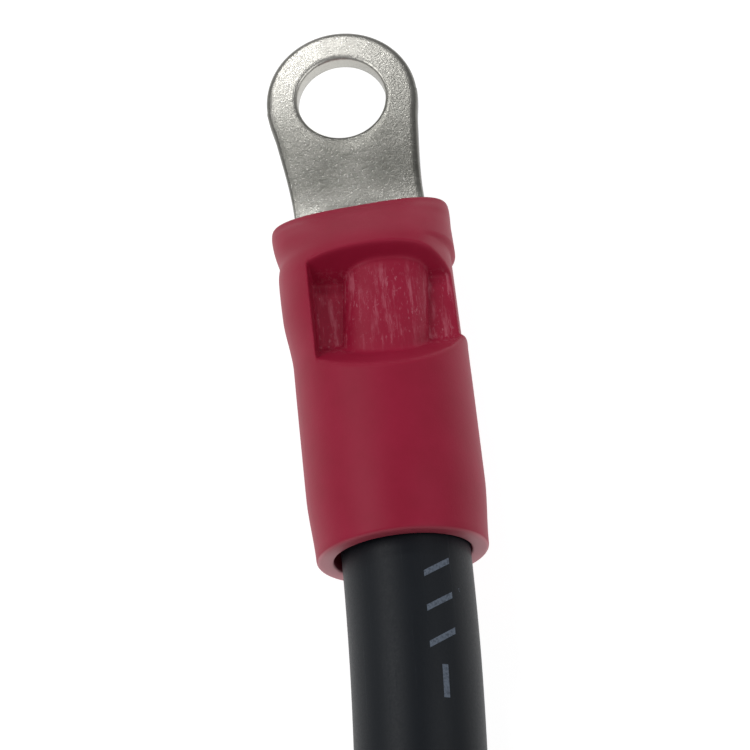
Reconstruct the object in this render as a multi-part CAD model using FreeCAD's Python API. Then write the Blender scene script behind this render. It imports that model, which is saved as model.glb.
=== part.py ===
"""Insulated ring terminal lead: two crimped ring terminals joined by one stranded cable.

Frame: the origin is the centre of the stud hole, half way through the tongue.
+Z is square to the tongue, +Y points out along the barrel towards the ring,
and the cable leaves towards -Y. All sizes are millimetres.
"""
import FreeCAD, Part
import math
import os

from FreeCAD import Vector

# ---- driving dimensions: terminal -------------------------------------------
stud_hole_diameter = 5.3        # clears an M5 stud
ring_diameter = 9.05
sheet_thickness = 1.15
neck_width = 7.75               # tongue where it enters the sleeve
tongue_length = 8.3             # hole centre to the sleeve's rim
tongue_yaw_deg = 2.6            # tongue leans from the barrel after crimping
barrel_side_step = 0.275        # barrel axis to one side of the neck, pushed over by the crimp
flat_end_gap = 0.3              # flat underside ends this far in front of the sleeve
tongue_edge_radius = 0.3        # rolled edge left by the stamping die
shoulder_share = 0.35           # how soon the ring's sides leave its round end
flank_hollow = 0.12             # hollow of the sides between ring and neck

barrel_bore = 4.6
barrel_length = 8.6
barrel_set_back = 3.2           # sleeve rim to barrel front
barrel_axis_height = 1.6        # above the middle of the tongue
crimped_bore_height = 3.95      # bore after crimping
crimped_bore_width = 4.5
braze_gap = 0.25                # seam width, filled with braze

# ---- driving dimensions: sleeve ---------------------------------------------
sleeve_length = 21.2
sleeve_body_diameter = 10.15
sleeve_mouth_diameter = 9.5
entry_fit = 0.25                # radial room round the cable at the mouth
sleeve_rim_width = 10.5
sleeve_rim_height = 5.0
sleeve_rim_wall = 0.95
sleeve_rim_height_above_tongue = 0.3
collar_wall = 0.4               # stretched wall over the front of the barrel
sleeve_fit = 0.05               # clearance of the sleeve on the barrel
rim_lip_length = 1.2            # rim to where the collar starts to swell
rim_lip_swell = 0.4             # how much higher the sleeve is there, to each side
body_start_gap = 1.6            # crimp front to the round body
mouth_taper_length = 3.5        # stretch that narrows to the mouth

# ---- driving dimensions: crimp ----------------------------------------------
crimp_length = 5.5
crimp_set_back = 1.4            # barrel front to the crimp
front_wall_foot = 0.6           # crimp front to the foot of its front wall
rear_wall_foot = 1.0            # foot of its rear wall to the crimp's back
crimp_roll_deg = 6.0            # die turned about the barrel
crimp_offset = 0.5              # die off centre
crimp_width = 8.1
hump_width = 4.9
hump_height = 3.0               # above the barrel axis
shelf_height = 1.5
front_wall_slope_deg = 27.0
rear_wall_slope_deg = 38.0
squeezed_wall = 0.4             # sleeve left between the die and the barrel

# ---- driving dimensions: cable ----------------------------------------------
cable_diameter = 7.1
cable_offset = 0.18             # cable lies to one side of the mouth
strand_diameter = 0.749
strand_gap = 0.006
strand_rings = 2                # rings round the middle strand: 1 + 6 + 12
strand_overhang = 0.6           # strand ends in front of the barrel
strip_gap = 0.4                 # barrel end to the cut insulation
insulation_fit = 0.05

# ---- driving dimensions: stored length --------------------------------------
coil_radius = 36.0
coil_turns = 2
coil_centre_back = 84.0         # hole centre to the coil's middle, along -Y
cable_drift = 1.9               # sideways drift from the mouth to the coil
climb_start_deg = 70.0          # a turn climbs on to the next layer from here
climb_end_deg = 180.0           # to here
last_layer_inset = 1.0          # top layer is this much tighter than the turns below
last_layer_shift = 1.4          # top layer sits off centre, towards its start
last_bend_deg = 240.0           # the cable runs straight from here to the far mouth
route_step_deg = 20.0           # turn at each point of a coiled route
skin = 0.03                     # keeps joined round shapes from sharing a surface
tie_angle_deg = 15.0
tie_width = 4.0
tie_thickness = 0.5
tie_tail_height = 4.0
tie_tail_width = 1.6
tie_gap = 0.05                  # between the tie and the turns
tie_tail_offset = 1.0           # tail outside the middle of the turns
cutter_overrun = 1.0            # cutting shapes run this far past a face
bore_lead = 0.4                 # bore is still round this far inside the crimp

# ---- places that follow from the sizes --------------------------------------
yaw = math.radians(tongue_yaw_deg)
rim_x = tongue_length * math.sin(yaw)
barrel_x = rim_x + barrel_side_step
barrel_z = barrel_axis_height
rim_y = -tongue_length * math.cos(yaw)
mouth_y = rim_y - sleeve_length
barrel_front = rim_y - barrel_set_back
barrel_back = barrel_front - barrel_length
barrel_radius = barrel_bore / 2 + sheet_thickness
crimp_front = barrel_front - crimp_set_back
crimp_back = crimp_front - crimp_length
body_radius = sleeve_body_diameter / 2
floor_z = barrel_z - body_radius
cable_radius = cable_diameter / 2
cable_x = barrel_x + cable_offset
strand_pitch = strand_diameter + strand_gap
bundle_radius = strand_rings * strand_pitch + strand_diameter / 2
insulation_bore = bundle_radius + insulation_fit
insulation_start = barrel_back - strip_gap
blend_length = 1.2              # crimped to round, along the bore


def super_ellipse(x, y, z, half_width, half_height, power=2.0, turn=0.0, count=24):
    """Closed smooth outline in a plane across the barrel, turned about Z."""
    points = []
    for index in range(count):
        angle = 2 * math.pi * index / count
        across = math.cos(angle)
        up = math.sin(angle)
        u = half_width * math.copysign(abs(across) ** (2 / power), across)
        w = half_height * math.copysign(abs(up) ** (2 / power), up)
        points.append(Vector(x + u * math.cos(turn), y + u * math.sin(turn), z + w))
    curve = Part.BSplineCurve()
    curve.interpolate(Points=points, PeriodicFlag=True)
    return Part.Wire([curve.toShape()])


def rod(x, z, y_start, y_end, radius):
    """Round rod along the barrel direction."""
    start = Vector(x, max(y_start, y_end), z)
    return Part.makeCylinder(radius, abs(y_end - y_start), start, Vector(0, -1, 0))


def block(low, high):
    """Box between two corners."""
    size = [b - a for a, b in zip(low, high)]
    return Part.makeBox(*size, Vector(*low))


# ---- tongue and barrel ------------------------------------------------------
def strip_section(y, half_length, bend, x, z_bottom, turn, grow):
    """Cross-section of the sheet, bent upwards round the barrel axis by +-bend."""
    radius = half_length / bend
    centre_z = z_bottom + sheet_thickness / 2 + radius
    half = sheet_thickness / 2 + grow
    bend += grow / radius

    def at(angle, r):
        u = r * math.sin(angle)
        return Vector(x + u * math.cos(turn), y + u * math.sin(turn), centre_z - r * math.cos(angle))

    outer, inner = radius + half, radius - half
    edges = [
        Part.Arc(at(-bend, outer), at(0, outer), at(bend, outer)).toShape(),
        Part.LineSegment(at(bend, outer), at(bend, inner)).toShape(),
        Part.Arc(at(bend, inner), at(0, inner), at(-bend, inner)).toShape(),
        Part.LineSegment(at(-bend, inner), at(-bend, outer)).toShape(),
    ]
    return Part.Wire(edges)


def tongue_blank():
    """Ring and neck: a round end whose sides close in to the neck."""
    radius = ring_diameter / 2
    half_neck = neck_width / 2
    half = sheet_thickness / 2
    tangent = math.acos(min(half_neck / radius, 1.0)) * shoulder_share
    side = Vector(radius * math.cos(tangent), -radius * math.sin(tangent), -half)
    left = Vector(-side.x, side.y, -half)
    neck_right = Vector(half_neck, flat_end_gap - tongue_length, -half)
    neck_left = Vector(-half_neck, flat_end_gap - tongue_length, -half)
    flank = Vector((side.x + half_neck) / 2 - flank_hollow, (side.y - tongue_length) / 2, -half)
    flank_left = Vector(-flank.x, flank.y, -half)
    outline = Part.Wire([
        Part.Arc(side, Vector(0, radius, -half), left).toShape(),
        Part.Arc(left, flank_left, neck_left).toShape(),
        Part.LineSegment(neck_left, neck_right).toShape(),
        Part.Arc(neck_right, flank, side).toShape(),
    ])
    plate = Part.Face(outline).extrude(Vector(0, 0, sheet_thickness))
    hole = Part.makeCylinder(stud_hole_diameter / 2, sheet_thickness, Vector(0, 0, -half))
    plate = plate.cut(hole)
    rounded = []
    for edge in plate.Edges:
        box = edge.BoundBox
        flat = box.ZLength < 1e-6
        at_neck = box.YMax < -tongue_length + flat_end_gap + 0.1
        at_hole = max(abs(box.XMin), abs(box.XMax), abs(box.YMin), abs(box.YMax)) < radius - 0.5
        if flat and not at_neck and not at_hole:
            rounded.append(edge)
    plate = plate.makeFillet(min(tongue_edge_radius, 0.4 * sheet_thickness), rounded)
    plate.rotate(Vector(0, 0, 0), Vector(0, 0, 1), tongue_yaw_deg)
    return plate


def transition(grow=0.0):
    """Sheet curling up from the flat neck into the barrel, or the room it needs."""
    mid_radius = barrel_bore / 2 + sheet_thickness / 2
    bottom = barrel_z - barrel_radius
    start_y = rim_y + flat_end_gap + 0.5
    neck_x = -start_y * math.tan(yaw)
    end_bend = math.radians(100)
    flat_bend = 0.012
    steps = 4
    wires = []
    for step in range(steps + 1):
        share = step / steps
        ease = share * share * (3 - 2 * share)
        bend = flat_bend + (end_bend - flat_bend) * ease
        half_length = neck_width / 2 + (mid_radius * end_bend - neck_width / 2) * ease
        y = start_y + (barrel_front - 0.3 - start_y) * share
        z = -sheet_thickness / 2 + (bottom + sheet_thickness / 2) * ease
        inset = grow - skin * (2 - ease)
        x = neck_x + (barrel_x - neck_x) * ease
        wires.append(strip_section(y, half_length, bend, x, z, yaw * (1 - ease), inset))
    return Part.makeLoft(wires, True, True)


def crimp_die(lift):
    """Space taken by the crimping die; lift moves its face away from the barrel."""
    half_hump = hump_width / 2
    half_width = crimp_width / 2
    shelf = shelf_height + lift
    hump = hump_height + lift
    reach = 2 * body_radius
    y = crimp_front + cutter_overrun
    low = Vector(-half_hump, y, shelf)
    outline = Part.Wire([
        Part.Arc(low, Vector(0, y, hump), Vector(half_hump, y, shelf)).toShape(),
        Part.LineSegment(Vector(half_hump, y, shelf), Vector(half_width, y, shelf)).toShape(),
        Part.LineSegment(Vector(half_width, y, shelf), Vector(half_width, y, reach)).toShape(),
        Part.LineSegment(Vector(half_width, y, reach), Vector(-half_width, y, reach)).toShape(),
        Part.LineSegment(Vector(-half_width, y, reach), Vector(-half_width, y, shelf)).toShape(),
        Part.LineSegment(Vector(-half_width, y, shelf), low).toShape(),
    ])
    length = crimp_length + 2 * cutter_overrun
    across = Part.Face(outline).extrude(Vector(0, -length, 0))
    front_run = (reach - shelf_height) * math.tan(math.radians(front_wall_slope_deg))
    rear_run = (reach - shelf_height) * math.tan(math.radians(rear_wall_slope_deg))
    base = shelf_height
    corners = [
        Vector(-reach, crimp_front - front_wall_foot, base + lift),
        Vector(-reach, crimp_front - front_wall_foot + front_run, reach + lift),
        Vector(-reach, crimp_back + rear_wall_foot - rear_run, reach + lift),
        Vector(-reach, crimp_back + rear_wall_foot, base + lift),
    ]
    side = Part.Face(Part.makePolygon(corners + corners[:1])).extrude(Vector(2 * reach, 0, 0))
    die = across.common(side)
    die.rotate(Vector(0, 0, 0), Vector(0, 1, 0), crimp_roll_deg)
    die.translate(Vector(barrel_x + crimp_offset, 0, barrel_z))
    return die


def crimped_bore(grow=0.0):
    """Barrel bore: round at its ends, pressed oval under the die."""
    open_half = barrel_bore / 2 + grow
    wide = crimped_bore_width / 2 + grow
    high = crimped_bore_height / 2 + grow
    stations = [
        (barrel_front + cutter_overrun, open_half, open_half),
        (crimp_front + bore_lead, open_half, open_half),
        (crimp_front + bore_lead - blend_length, wide, high),
        (crimp_back - bore_lead + blend_length, wide, high),
        (crimp_back - bore_lead, open_half, open_half),
        (barrel_back - cutter_overrun, open_half, open_half),
    ]
    wires = [super_ellipse(barrel_x, y, barrel_z, a, b) for y, a, b in stations]
    return Part.makeLoft(wires, True, True)


def seam_slot():
    """Slot of the butt seam along the top of the barrel."""
    low = (barrel_x - braze_gap / 2, barrel_back - cutter_overrun, barrel_z)
    high = (barrel_x + braze_gap / 2, barrel_front - 0.05, barrel_z + 2 * barrel_radius)
    return block(low, high)


def terminal_and_braze():
    """One stamping, rolled into a barrel, and the braze that closes its seam."""
    tube = rod(barrel_x, barrel_z, barrel_front, barrel_back, barrel_radius)
    pressed = [crimp_die(-squeezed_wall), crimped_bore()]
    slot = seam_slot()
    braze = tube.common(slot).cut(pressed)
    metal = tongue_blank().fuse([transition(), tube]).cut([*pressed, slot])
    return largest_solid(metal), largest_solid(braze)


# ---- sleeve -----------------------------------------------------------------
def sleeve_outer():
    """Outside of the sleeve before crimping: flattened rim, round body, narrower mouth."""
    half_rim = sleeve_rim_width / 2
    half_high = sleeve_rim_height / 2
    rim_z = sleeve_rim_height_above_tongue
    collar_top = barrel_z + barrel_radius + collar_wall
    collar_high = (collar_top - floor_z) / 2
    collar_z = floor_z + collar_high
    body_y = crimp_front - body_start_gap
    lip_y = rim_y - rim_lip_length
    lip_high = half_high + rim_lip_swell
    collar_half = half_rim + sleeve_fit
    stations = [
        (rim_x, rim_y, rim_z, half_rim, half_high, 3.0, yaw),
        (rim_x, lip_y, rim_z, collar_half, lip_high, 2.7, yaw * 0.7),
        (rim_x, barrel_front + 0.3, collar_z, collar_half, collar_high, 2.3, yaw * 0.3),
        (barrel_x, crimp_front + 0.2, collar_z, half_rim, collar_high, 2.2, 0.0),
        (barrel_x, body_y, barrel_z, body_radius - skin, body_radius - skin, 2.0, 0.0),
    ]
    front = Part.makeLoft([super_ellipse(*station) for station in stations], True, True)
    mouth_radius = sleeve_mouth_diameter / 2
    taper_y = mouth_y + mouth_taper_length
    profile = [
        Vector(barrel_x, body_y, barrel_z),
        Vector(barrel_x + body_radius, body_y, barrel_z),
        Vector(barrel_x + body_radius, taper_y, barrel_z),
        Vector(barrel_x + mouth_radius, mouth_y, barrel_z),
        Vector(barrel_x, mouth_y, barrel_z),
    ]
    face = Part.Face(Part.makePolygon(profile + profile[:1]))
    body = face.revolve(Vector(barrel_x, 0, barrel_z), Vector(0, 1, 0), 360)
    return front.fuse(body)


def sleeve_cavity():
    """Inside of the sleeve: open rim, seat on the barrel, cable entry."""
    half_rim = sleeve_rim_width / 2 - sleeve_rim_wall
    half_high = sleeve_rim_height / 2 - sleeve_rim_wall
    seat = barrel_radius + sleeve_fit
    rim_z = sleeve_rim_height_above_tongue
    front = Part.makeLoft([
        super_ellipse(rim_x, rim_y + 0.4, rim_z, half_rim, half_high, 3.0, yaw),
        super_ellipse(rim_x, rim_y - 0.6, rim_z, half_rim, half_high + 0.1, 3.0, yaw),
        super_ellipse(barrel_x, barrel_front - 0.15, barrel_z, seat - skin, seat - skin),
    ], True, True)
    middle = rod(barrel_x, barrel_z, barrel_front, barrel_back - strip_gap / 2, seat)
    middle = middle.cut(crimp_die(sleeve_fit - squeezed_wall))
    entry_radius = cable_radius + entry_fit
    entry = rod(barrel_x, barrel_z, barrel_back - strip_gap / 3, mouth_y - cutter_overrun, entry_radius)
    return front, middle, entry


def sleeve():
    """Vinyl sleeve pressed on the barrel and marked by the crimping die."""
    removed = [*sleeve_cavity(), crimp_die(0.0), transition(sleeve_fit)]
    return largest_solid(sleeve_outer().cut(removed))


def largest_solid(shape):
    """The one real piece of a cut, without loose slivers."""
    return max(shape.Solids, key=lambda solid: solid.Volume)


# ---- conductor and insulation inside the sleeve -----------------------------
def strand_places():
    """Middle strand, then hexagonal rings round it."""
    places = [(0.0, 0.0)]
    for ring in range(1, strand_rings + 1):
        for side in range(6):
            start = math.radians(60 * side)
            step = math.radians(60 * side + 120)
            for index in range(ring):
                u = strand_pitch * (ring * math.cos(start) + index * math.cos(step))
                w = strand_pitch * (ring * math.sin(start) + index * math.sin(step))
                places.append((u, w))
    return places


def strands():
    """Round wires from just in front of the barrel to the sleeve's mouth."""
    front = barrel_front + strand_overhang
    radius = strand_diameter / 2
    return [rod(cable_x + u, barrel_z + w, front, mouth_y, radius) for u, w in strand_places()]


def insulation_end():
    """Cable insulation inside the sleeve, cut back behind the barrel."""
    outside = rod(cable_x, barrel_z, insulation_start, mouth_y, cable_radius)
    return outside.cut(rod(cable_x, barrel_z, insulation_start + cutter_overrun,
                           mouth_y - cutter_overrun, insulation_bore))


# ---- cable route ------------------------------------------------------------
def routed_path(points, name):
    """Straight runs joined by tangent arcs, as large as the runs allow."""
    edges = []
    start = points[0]
    for before, corner, after in zip(points, points[1:], points[2:]):
        into = (corner - before).normalize()
        out = (after - corner).normalize()
        turn = into.getAngle(out)
        shorter = min((corner - before).Length, (after - corner).Length)
        back = 0.45 * shorter
        radius = back / math.tan(turn / 2)
        print(f"{name}: turn {math.degrees(turn):.1f} deg, radius {radius:.1f} mm")
        first = corner - into * back
        last = corner + out * back
        bisector = (out - into).normalize()
        middle = corner + bisector * (radius / math.cos(turn / 2) - radius)
        edges.append(Part.LineSegment(start, first).toShape())
        edges.append(Part.Arc(first, middle, last).toShape())
        start = last
    edges.append(Part.LineSegment(start, points[-1]).toShape())
    return Part.Wire(edges)


def tube_along(points, radius, name):
    """Round tube along a routed path, with its volume compared with length x section."""
    path = routed_path(points, name)
    direction = (points[1] - points[0]).normalize()
    ring = Part.Wire([Part.makeCircle(radius, points[0], direction)])
    tube = path.makePipeShell([ring], True, False)
    expected = path.Length * math.pi * radius ** 2
    print(f"{name}: length {path.Length:.1f} mm, volume {tube.Volume:.1f}, expected {expected:.1f} mm3")
    return tube


cable_rest_z = floor_z + cable_radius
coil_centre = Vector(cable_x - cable_drift + coil_radius, -coil_centre_back, floor_z)
lead_in = Vector(coil_centre.x - coil_radius, -coil_centre_back, cable_rest_z)
touch_length = 2 * math.sqrt(coil_radius * cable_radius)    # lead-in beside the first turn
lead_end = lead_in + Vector(0, touch_length + 0.5, 0)
lead_run = (mouth_y - lead_end.y) / 4
lead_drop = barrel_z - cable_rest_z
lead_points = [
    Vector(cable_x, mouth_y, barrel_z),
    Vector(cable_x, mouth_y - 0.95 * lead_run, barrel_z),
    Vector(cable_x - 0.42 * cable_drift, mouth_y - 2 * lead_run, barrel_z - 0.4 * lead_drop),
    Vector(lead_end.x, lead_end.y + 0.95 * lead_run, cable_rest_z),
    lead_end,
]


def on_coil(angle_deg, radius, height):
    """Point at an angle round the coil."""
    angle = math.radians(angle_deg)
    return coil_centre + Vector(radius * math.cos(angle), radius * math.sin(angle), height)


stack_height = coil_turns * cable_diameter
half_step = math.radians(route_step_deg / 2)
last_centre = on_coil(climb_start_deg, last_layer_shift, 0)
last_layer_radius = coil_radius - last_layer_inset
far_heading = last_bend_deg + 90.0
far_forward = Vector(math.cos(math.radians(far_heading)), math.sin(math.radians(far_heading)), 0)


def ease(value, start, end):
    """0 before start, 1 after end and smooth between."""
    share = min(max((value - start) / (end - start), 0.0), 1.0)
    return share * share * (3 - 2 * share)


def last_layer_point(angle_deg, radius):
    """Point of the top layer, which climbs from the layer below to the far mouth."""
    angle = math.radians(angle_deg)
    height = stack_height - cable_radius + cable_diameter * ease(angle_deg, climb_start_deg, climb_end_deg)
    height += (body_radius - cable_radius) * ease(angle_deg, climb_end_deg - 20, last_bend_deg + 10)
    return last_centre + Vector(radius * math.cos(angle), radius * math.sin(angle), height)


far_straight = last_layer_radius * math.tan(half_step)
far_mouth = last_layer_point(last_bend_deg, last_layer_radius) + far_forward * far_straight
far_mouth.z = floor_z + stack_height + body_radius


def coil_solid():
    """Outer shape of the stored turns, with the lead-in and the last layer to the far mouth."""
    section = Part.Wire([
        Part.Arc(on_coil(0, coil_radius + cable_radius, cable_radius),
                 on_coil(0, coil_radius, 0),
                 on_coil(0, coil_radius - cable_radius, cable_radius)).toShape(),
        Part.LineSegment(on_coil(0, coil_radius - cable_radius, cable_radius),
                         on_coil(0, coil_radius - cable_radius, stack_height - cable_radius)).toShape(),
        Part.Arc(on_coil(0, coil_radius - cable_radius, stack_height - cable_radius),
                 on_coil(0, coil_radius, stack_height),
                 on_coil(0, coil_radius + cable_radius, stack_height - cable_radius)).toShape(),
        Part.LineSegment(on_coil(0, coil_radius + cable_radius, stack_height - cable_radius),
                         on_coil(0, coil_radius + cable_radius, cable_radius)).toShape(),
    ])
    turns = Part.Face(section).revolve(coil_centre, Vector(0, 0, 1), 360)
    buried = lead_in + Vector(0, 2.5 * cable_radius, 0)
    straight = Part.makeCylinder(cable_radius - skin, (lead_end - buried).Length, buried, Vector(0, 1, 0))
    corner_radius = last_layer_radius / math.cos(half_step)
    last_points = []
    angle = climb_start_deg + route_step_deg
    while angle < last_bend_deg:
        last_points.append(last_layer_point(angle, corner_radius))
        angle += route_step_deg
    last_points[-1].z = far_mouth.z
    last_points.append(far_mouth)
    last_layer = tube_along(last_points, cable_radius - skin, "last layer")
    return turns.fuse(last_layer).fuse(straight).removeSplitter()


def twist_tie():
    """Flat tie round all the turns, with its ends twisted together outside."""
    half = tie_width / 2
    inner = coil_radius - cable_radius - tie_gap
    outer = coil_radius + cable_radius + tie_gap
    thick = tie_thickness
    top = stack_height + tie_gap
    low = (inner - thick, -half, 0)
    high = (outer + thick, half, top + thick)
    loop = block(low, high).cut(block((inner, -half, thick), (outer, half, top)))
    tail_middle = coil_radius + tie_tail_offset
    tail_low = (tail_middle - tie_tail_width / 2, -tie_tail_width / 2, top)
    tail_high = (tail_middle + tie_tail_width / 2, tie_tail_width / 2, top + thick + tie_tail_height)
    tie = loop.fuse(block(tail_low, tail_high)).removeSplitter()
    tie.rotate(Vector(0, 0, 0), Vector(0, 0, 1), tie_angle_deg)
    tie.translate(coil_centre)
    return tie


def to_far_end(shape):
    """Move a piece from this end to the same place on the far terminal."""
    moved = shape.copy()
    mouth = Vector(cable_x, mouth_y, barrel_z)
    moved.translate(mouth * -1)
    moved.rotate(Vector(0, 0, 0), Vector(0, 0, 1), far_heading - 90.0)
    moved.translate(far_mouth)
    return moved


def build_nodes():
    """Every separate piece by name."""
    metal, braze = terminal_and_braze()
    cover = sleeve()
    wires = strands()
    jacket = insulation_end()
    nodes = {
        "ring_terminal": metal,
        "braze_seam": braze,
        "insulating_sleeve": cover,
        "cable_insulation_end": jacket,
    }
    for index, wire in enumerate(wires, start=1):
        nodes[f"conductor_strand_{index:02d}"] = wire
    lead = tube_along(lead_points, cable_radius, "cable")
    tie = twist_tie()
    nodes["cable_lead"] = lead
    nodes["cable_coil"] = largest_solid(coil_solid().cut(tie))
    nodes["coil_twist_tie"] = tie
    nodes["far_ring_terminal"] = to_far_end(metal)
    nodes["far_braze_seam"] = to_far_end(braze)
    nodes["far_insulating_sleeve"] = to_far_end(cover)
    nodes["far_cable_insulation_end"] = to_far_end(jacket)
    nodes["far_conductor_strands"] = to_far_end(Part.makeCompound(wires))
    return nodes


def main():
    """Write one STEP file for each piece."""
    os.makedirs("parts", exist_ok=True)
    nodes = build_nodes()
    for name, shape in nodes.items():
        shape.exportStep(f"parts/{name}.step")
        print(f"{name}: {len(shape.Solids)} solid(s), {shape.Volume:.2f} mm3, valid {shape.isValid()}")
    hole = to_far_end(Part.Vertex(0, 0, 0)).Point
    print(f"far stud hole centre: {hole.x:.4f} {hole.y:.4f} {hole.z:.4f}, turned {far_heading - 90.0:.1f} deg")


main()
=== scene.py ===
"""Finish of the insulated ring terminal lead: terminals, vinyl sleeves, cable, tie and studio."""

import logging
import math
from dataclasses import dataclass
from enum import Enum
from typing import Callable, Sequence

import bmesh
import bpy
from mathutils import Matrix, Vector


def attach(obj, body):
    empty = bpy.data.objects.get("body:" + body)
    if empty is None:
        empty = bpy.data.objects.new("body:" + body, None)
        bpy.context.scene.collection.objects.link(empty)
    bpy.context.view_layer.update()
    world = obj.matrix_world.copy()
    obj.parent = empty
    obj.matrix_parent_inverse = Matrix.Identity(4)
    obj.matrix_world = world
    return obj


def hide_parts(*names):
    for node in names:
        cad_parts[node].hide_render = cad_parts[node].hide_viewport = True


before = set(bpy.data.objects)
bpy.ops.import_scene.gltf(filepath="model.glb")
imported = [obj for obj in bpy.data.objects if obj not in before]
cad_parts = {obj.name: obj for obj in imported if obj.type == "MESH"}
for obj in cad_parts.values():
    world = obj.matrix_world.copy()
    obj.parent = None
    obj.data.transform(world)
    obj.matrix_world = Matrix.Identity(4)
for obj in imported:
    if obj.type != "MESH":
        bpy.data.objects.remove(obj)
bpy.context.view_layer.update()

LOG = logging.getLogger("ring_terminal_lead")
MM = 0.001


# ---- places shared by the pieces, in millimetres -----------------------------
@dataclass(frozen=True)
class LeadLayout:
    """Places of one lead: hole, rim, barrel, mouth, cable and coil, in millimetres."""

    barrel_x: float = 0.6515
    barrel_z: float = 1.6
    rim_y: float = -8.2915
    sleeve_length: float = 21.2
    barrel_set_back: float = 3.2
    barrel_length: float = 8.6
    barrel_radius: float = 3.45
    body_radius: float = 5.075
    floor_z: float = -3.475
    cable_radius: float = 3.55
    cable_x: float = 0.8315
    strip_gap: float = 0.4

    @property
    def mouth_y(self) -> float:
        """Back face of the sleeve."""
        return self.rim_y - self.sleeve_length

    @property
    def barrel_front(self) -> float:
        """Front edge of the metal barrel."""
        return self.rim_y - self.barrel_set_back

    @property
    def barrel_back(self) -> float:
        """Back edge of the metal barrel."""
        return self.barrel_front - self.barrel_length

    @property
    def insulation_start(self) -> float:
        """Cut end of the cable insulation inside the sleeve."""
        return self.barrel_back - self.strip_gap


LAYOUT = LeadLayout()


class LeadEnd(Enum):
    """The two ends of the lead."""

    NEAR = "near"
    FAR = "far"


# ---- small numeric helpers ---------------------------------------------------
def smooth(value: float, start: float, end: float) -> float:
    """Ease from 0 at start to 1 at end.

    Args:
        value: Number to place between start and end.
        start: Where the ease begins.
        end: Where the ease has finished.

    Returns:
        A number from 0 to 1.
    """
    share = min(max((value - start) / (end - start), 0.0), 1.0)
    return share * share * (3.0 - 2.0 * share)


def soft_min(a: float, b: float, radius: float) -> float:
    """Lower of two heights, with the corner between them rounded.

    Args:
        a: First height.
        b: Second height.
        radius: Size of the rounded corner.

    Returns:
        The rounded lower height.
    """
    share = max(radius - abs(a - b), 0.0) / radius
    return min(a, b) - share * share * radius * 0.25


def soft_max(a: float, b: float, radius: float) -> float:
    """Higher of two heights, with the corner between them rounded."""
    return -soft_min(-a, -b, radius)


def along_table(table: Sequence[tuple[float, float]], value: float) -> float:
    """Smoothly read a table of (place, size) rows.

    Args:
        table: Rows in rising order of place.
        value: Place to read.

    Returns:
        The size there, from a monotone cubic through the rows.
    """
    if value <= table[0][0]:
        return table[0][1]
    if value >= table[-1][0]:
        return table[-1][1]
    k = max(index for index, row in enumerate(table) if row[0] <= value)
    k = min(k, len(table) - 2)
    steps = [(b[1] - a[1]) / (b[0] - a[0]) for a, b in zip(table, table[1:])]

    def slope(index: int) -> float:
        if index in (0, len(table) - 1):
            return 0.0
        before, after = steps[index - 1], steps[index]
        if before * after <= 0:
            return 0.0
        return 2 * before * after / (before + after)

    width = table[k + 1][0] - table[k][0]
    t = (value - table[k][0]) / width
    h00, h10 = 2 * t**3 - 3 * t**2 + 1, t**3 - 2 * t**2 + t
    h01, h11 = -2 * t**3 + 3 * t**2, t**3 - t**2
    return (
        h00 * table[k][1] + h10 * width * slope(k) + h01 * table[k + 1][1] + h11 * width * slope(k + 1)
    )


def spaced(start: float, end: float, step: float) -> list[float]:
    """Evenly spaced numbers from start up to, but not including, end."""
    count = max(1, round(abs(end - start) / step))
    return [start + (end - start) * index / count for index in range(count)]


def quarter_round(radius: float, angles: Sequence[float]) -> list[tuple[float, float]]:
    """Steps over a rounded edge.

    Args:
        radius: Radius of the edge.
        angles: Where the steps lie, in degrees from 0 on one face to 90 on the other.

    Returns:
        Pairs of distances in from the two faces.
    """
    turns = [math.radians(angle) for angle in angles]
    return [(radius * (1 - math.cos(turn)), radius * (1 - math.sin(turn))) for turn in turns]


# ---- mesh helpers --------------------------------------------------------------
def wrapped_shell(
    around: int,
    along: int,
    place: Callable[[int, int], Vector],
    closed_along: bool,
) -> bmesh.types.BMesh:
    """Bend a grid into a closed skin.

    Args:
        around: Faces round the piece; the skin always closes this way.
        along: Faces along the piece.
        place: Gives the millimetre place of grid corner (around index, along index).
        closed_along: Whether the last row meets the first one; otherwise both ends are filled.

    Returns:
        A bmesh in metres, with its doubles merged and its faces pointing outwards.
    """
    bm = bmesh.new()
    bmesh.ops.create_grid(bm, x_segments=around, y_segments=along, size=1.0)
    for vert in bm.verts:
        i = round((vert.co.x + 1) / 2 * around) % around
        j = round((vert.co.y + 1) / 2 * along)
        if closed_along:
            j %= along
        vert.co = place(i, j) * MM
    bmesh.ops.remove_doubles(bm, verts=bm.verts, dist=1e-7)
    if not closed_along:
        open_edges = [edge for edge in bm.edges if edge.is_boundary]
        bmesh.ops.holes_fill(bm, edges=open_edges, sides=0)
    bmesh.ops.recalc_face_normals(bm, faces=bm.faces)
    return bm


def add_field(mesh: bpy.types.Mesh, name: str, values: list[Vector] | list[float]) -> None:
    """Store one value for each point of a mesh under a name that materials read.

    Args:
        mesh: Mesh to write to.
        name: Name of the field.
        values: Numbers or vectors, one for each point.
    """
    kind = "FLOAT" if isinstance(values[0], float) else "FLOAT_VECTOR"
    layer = mesh.attributes.new(name, kind, "POINT")
    if kind == "FLOAT":
        layer.data.foreach_set("value", values)
    else:
        layer.data.foreach_set("vector", [number for value in values for number in value])


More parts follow.
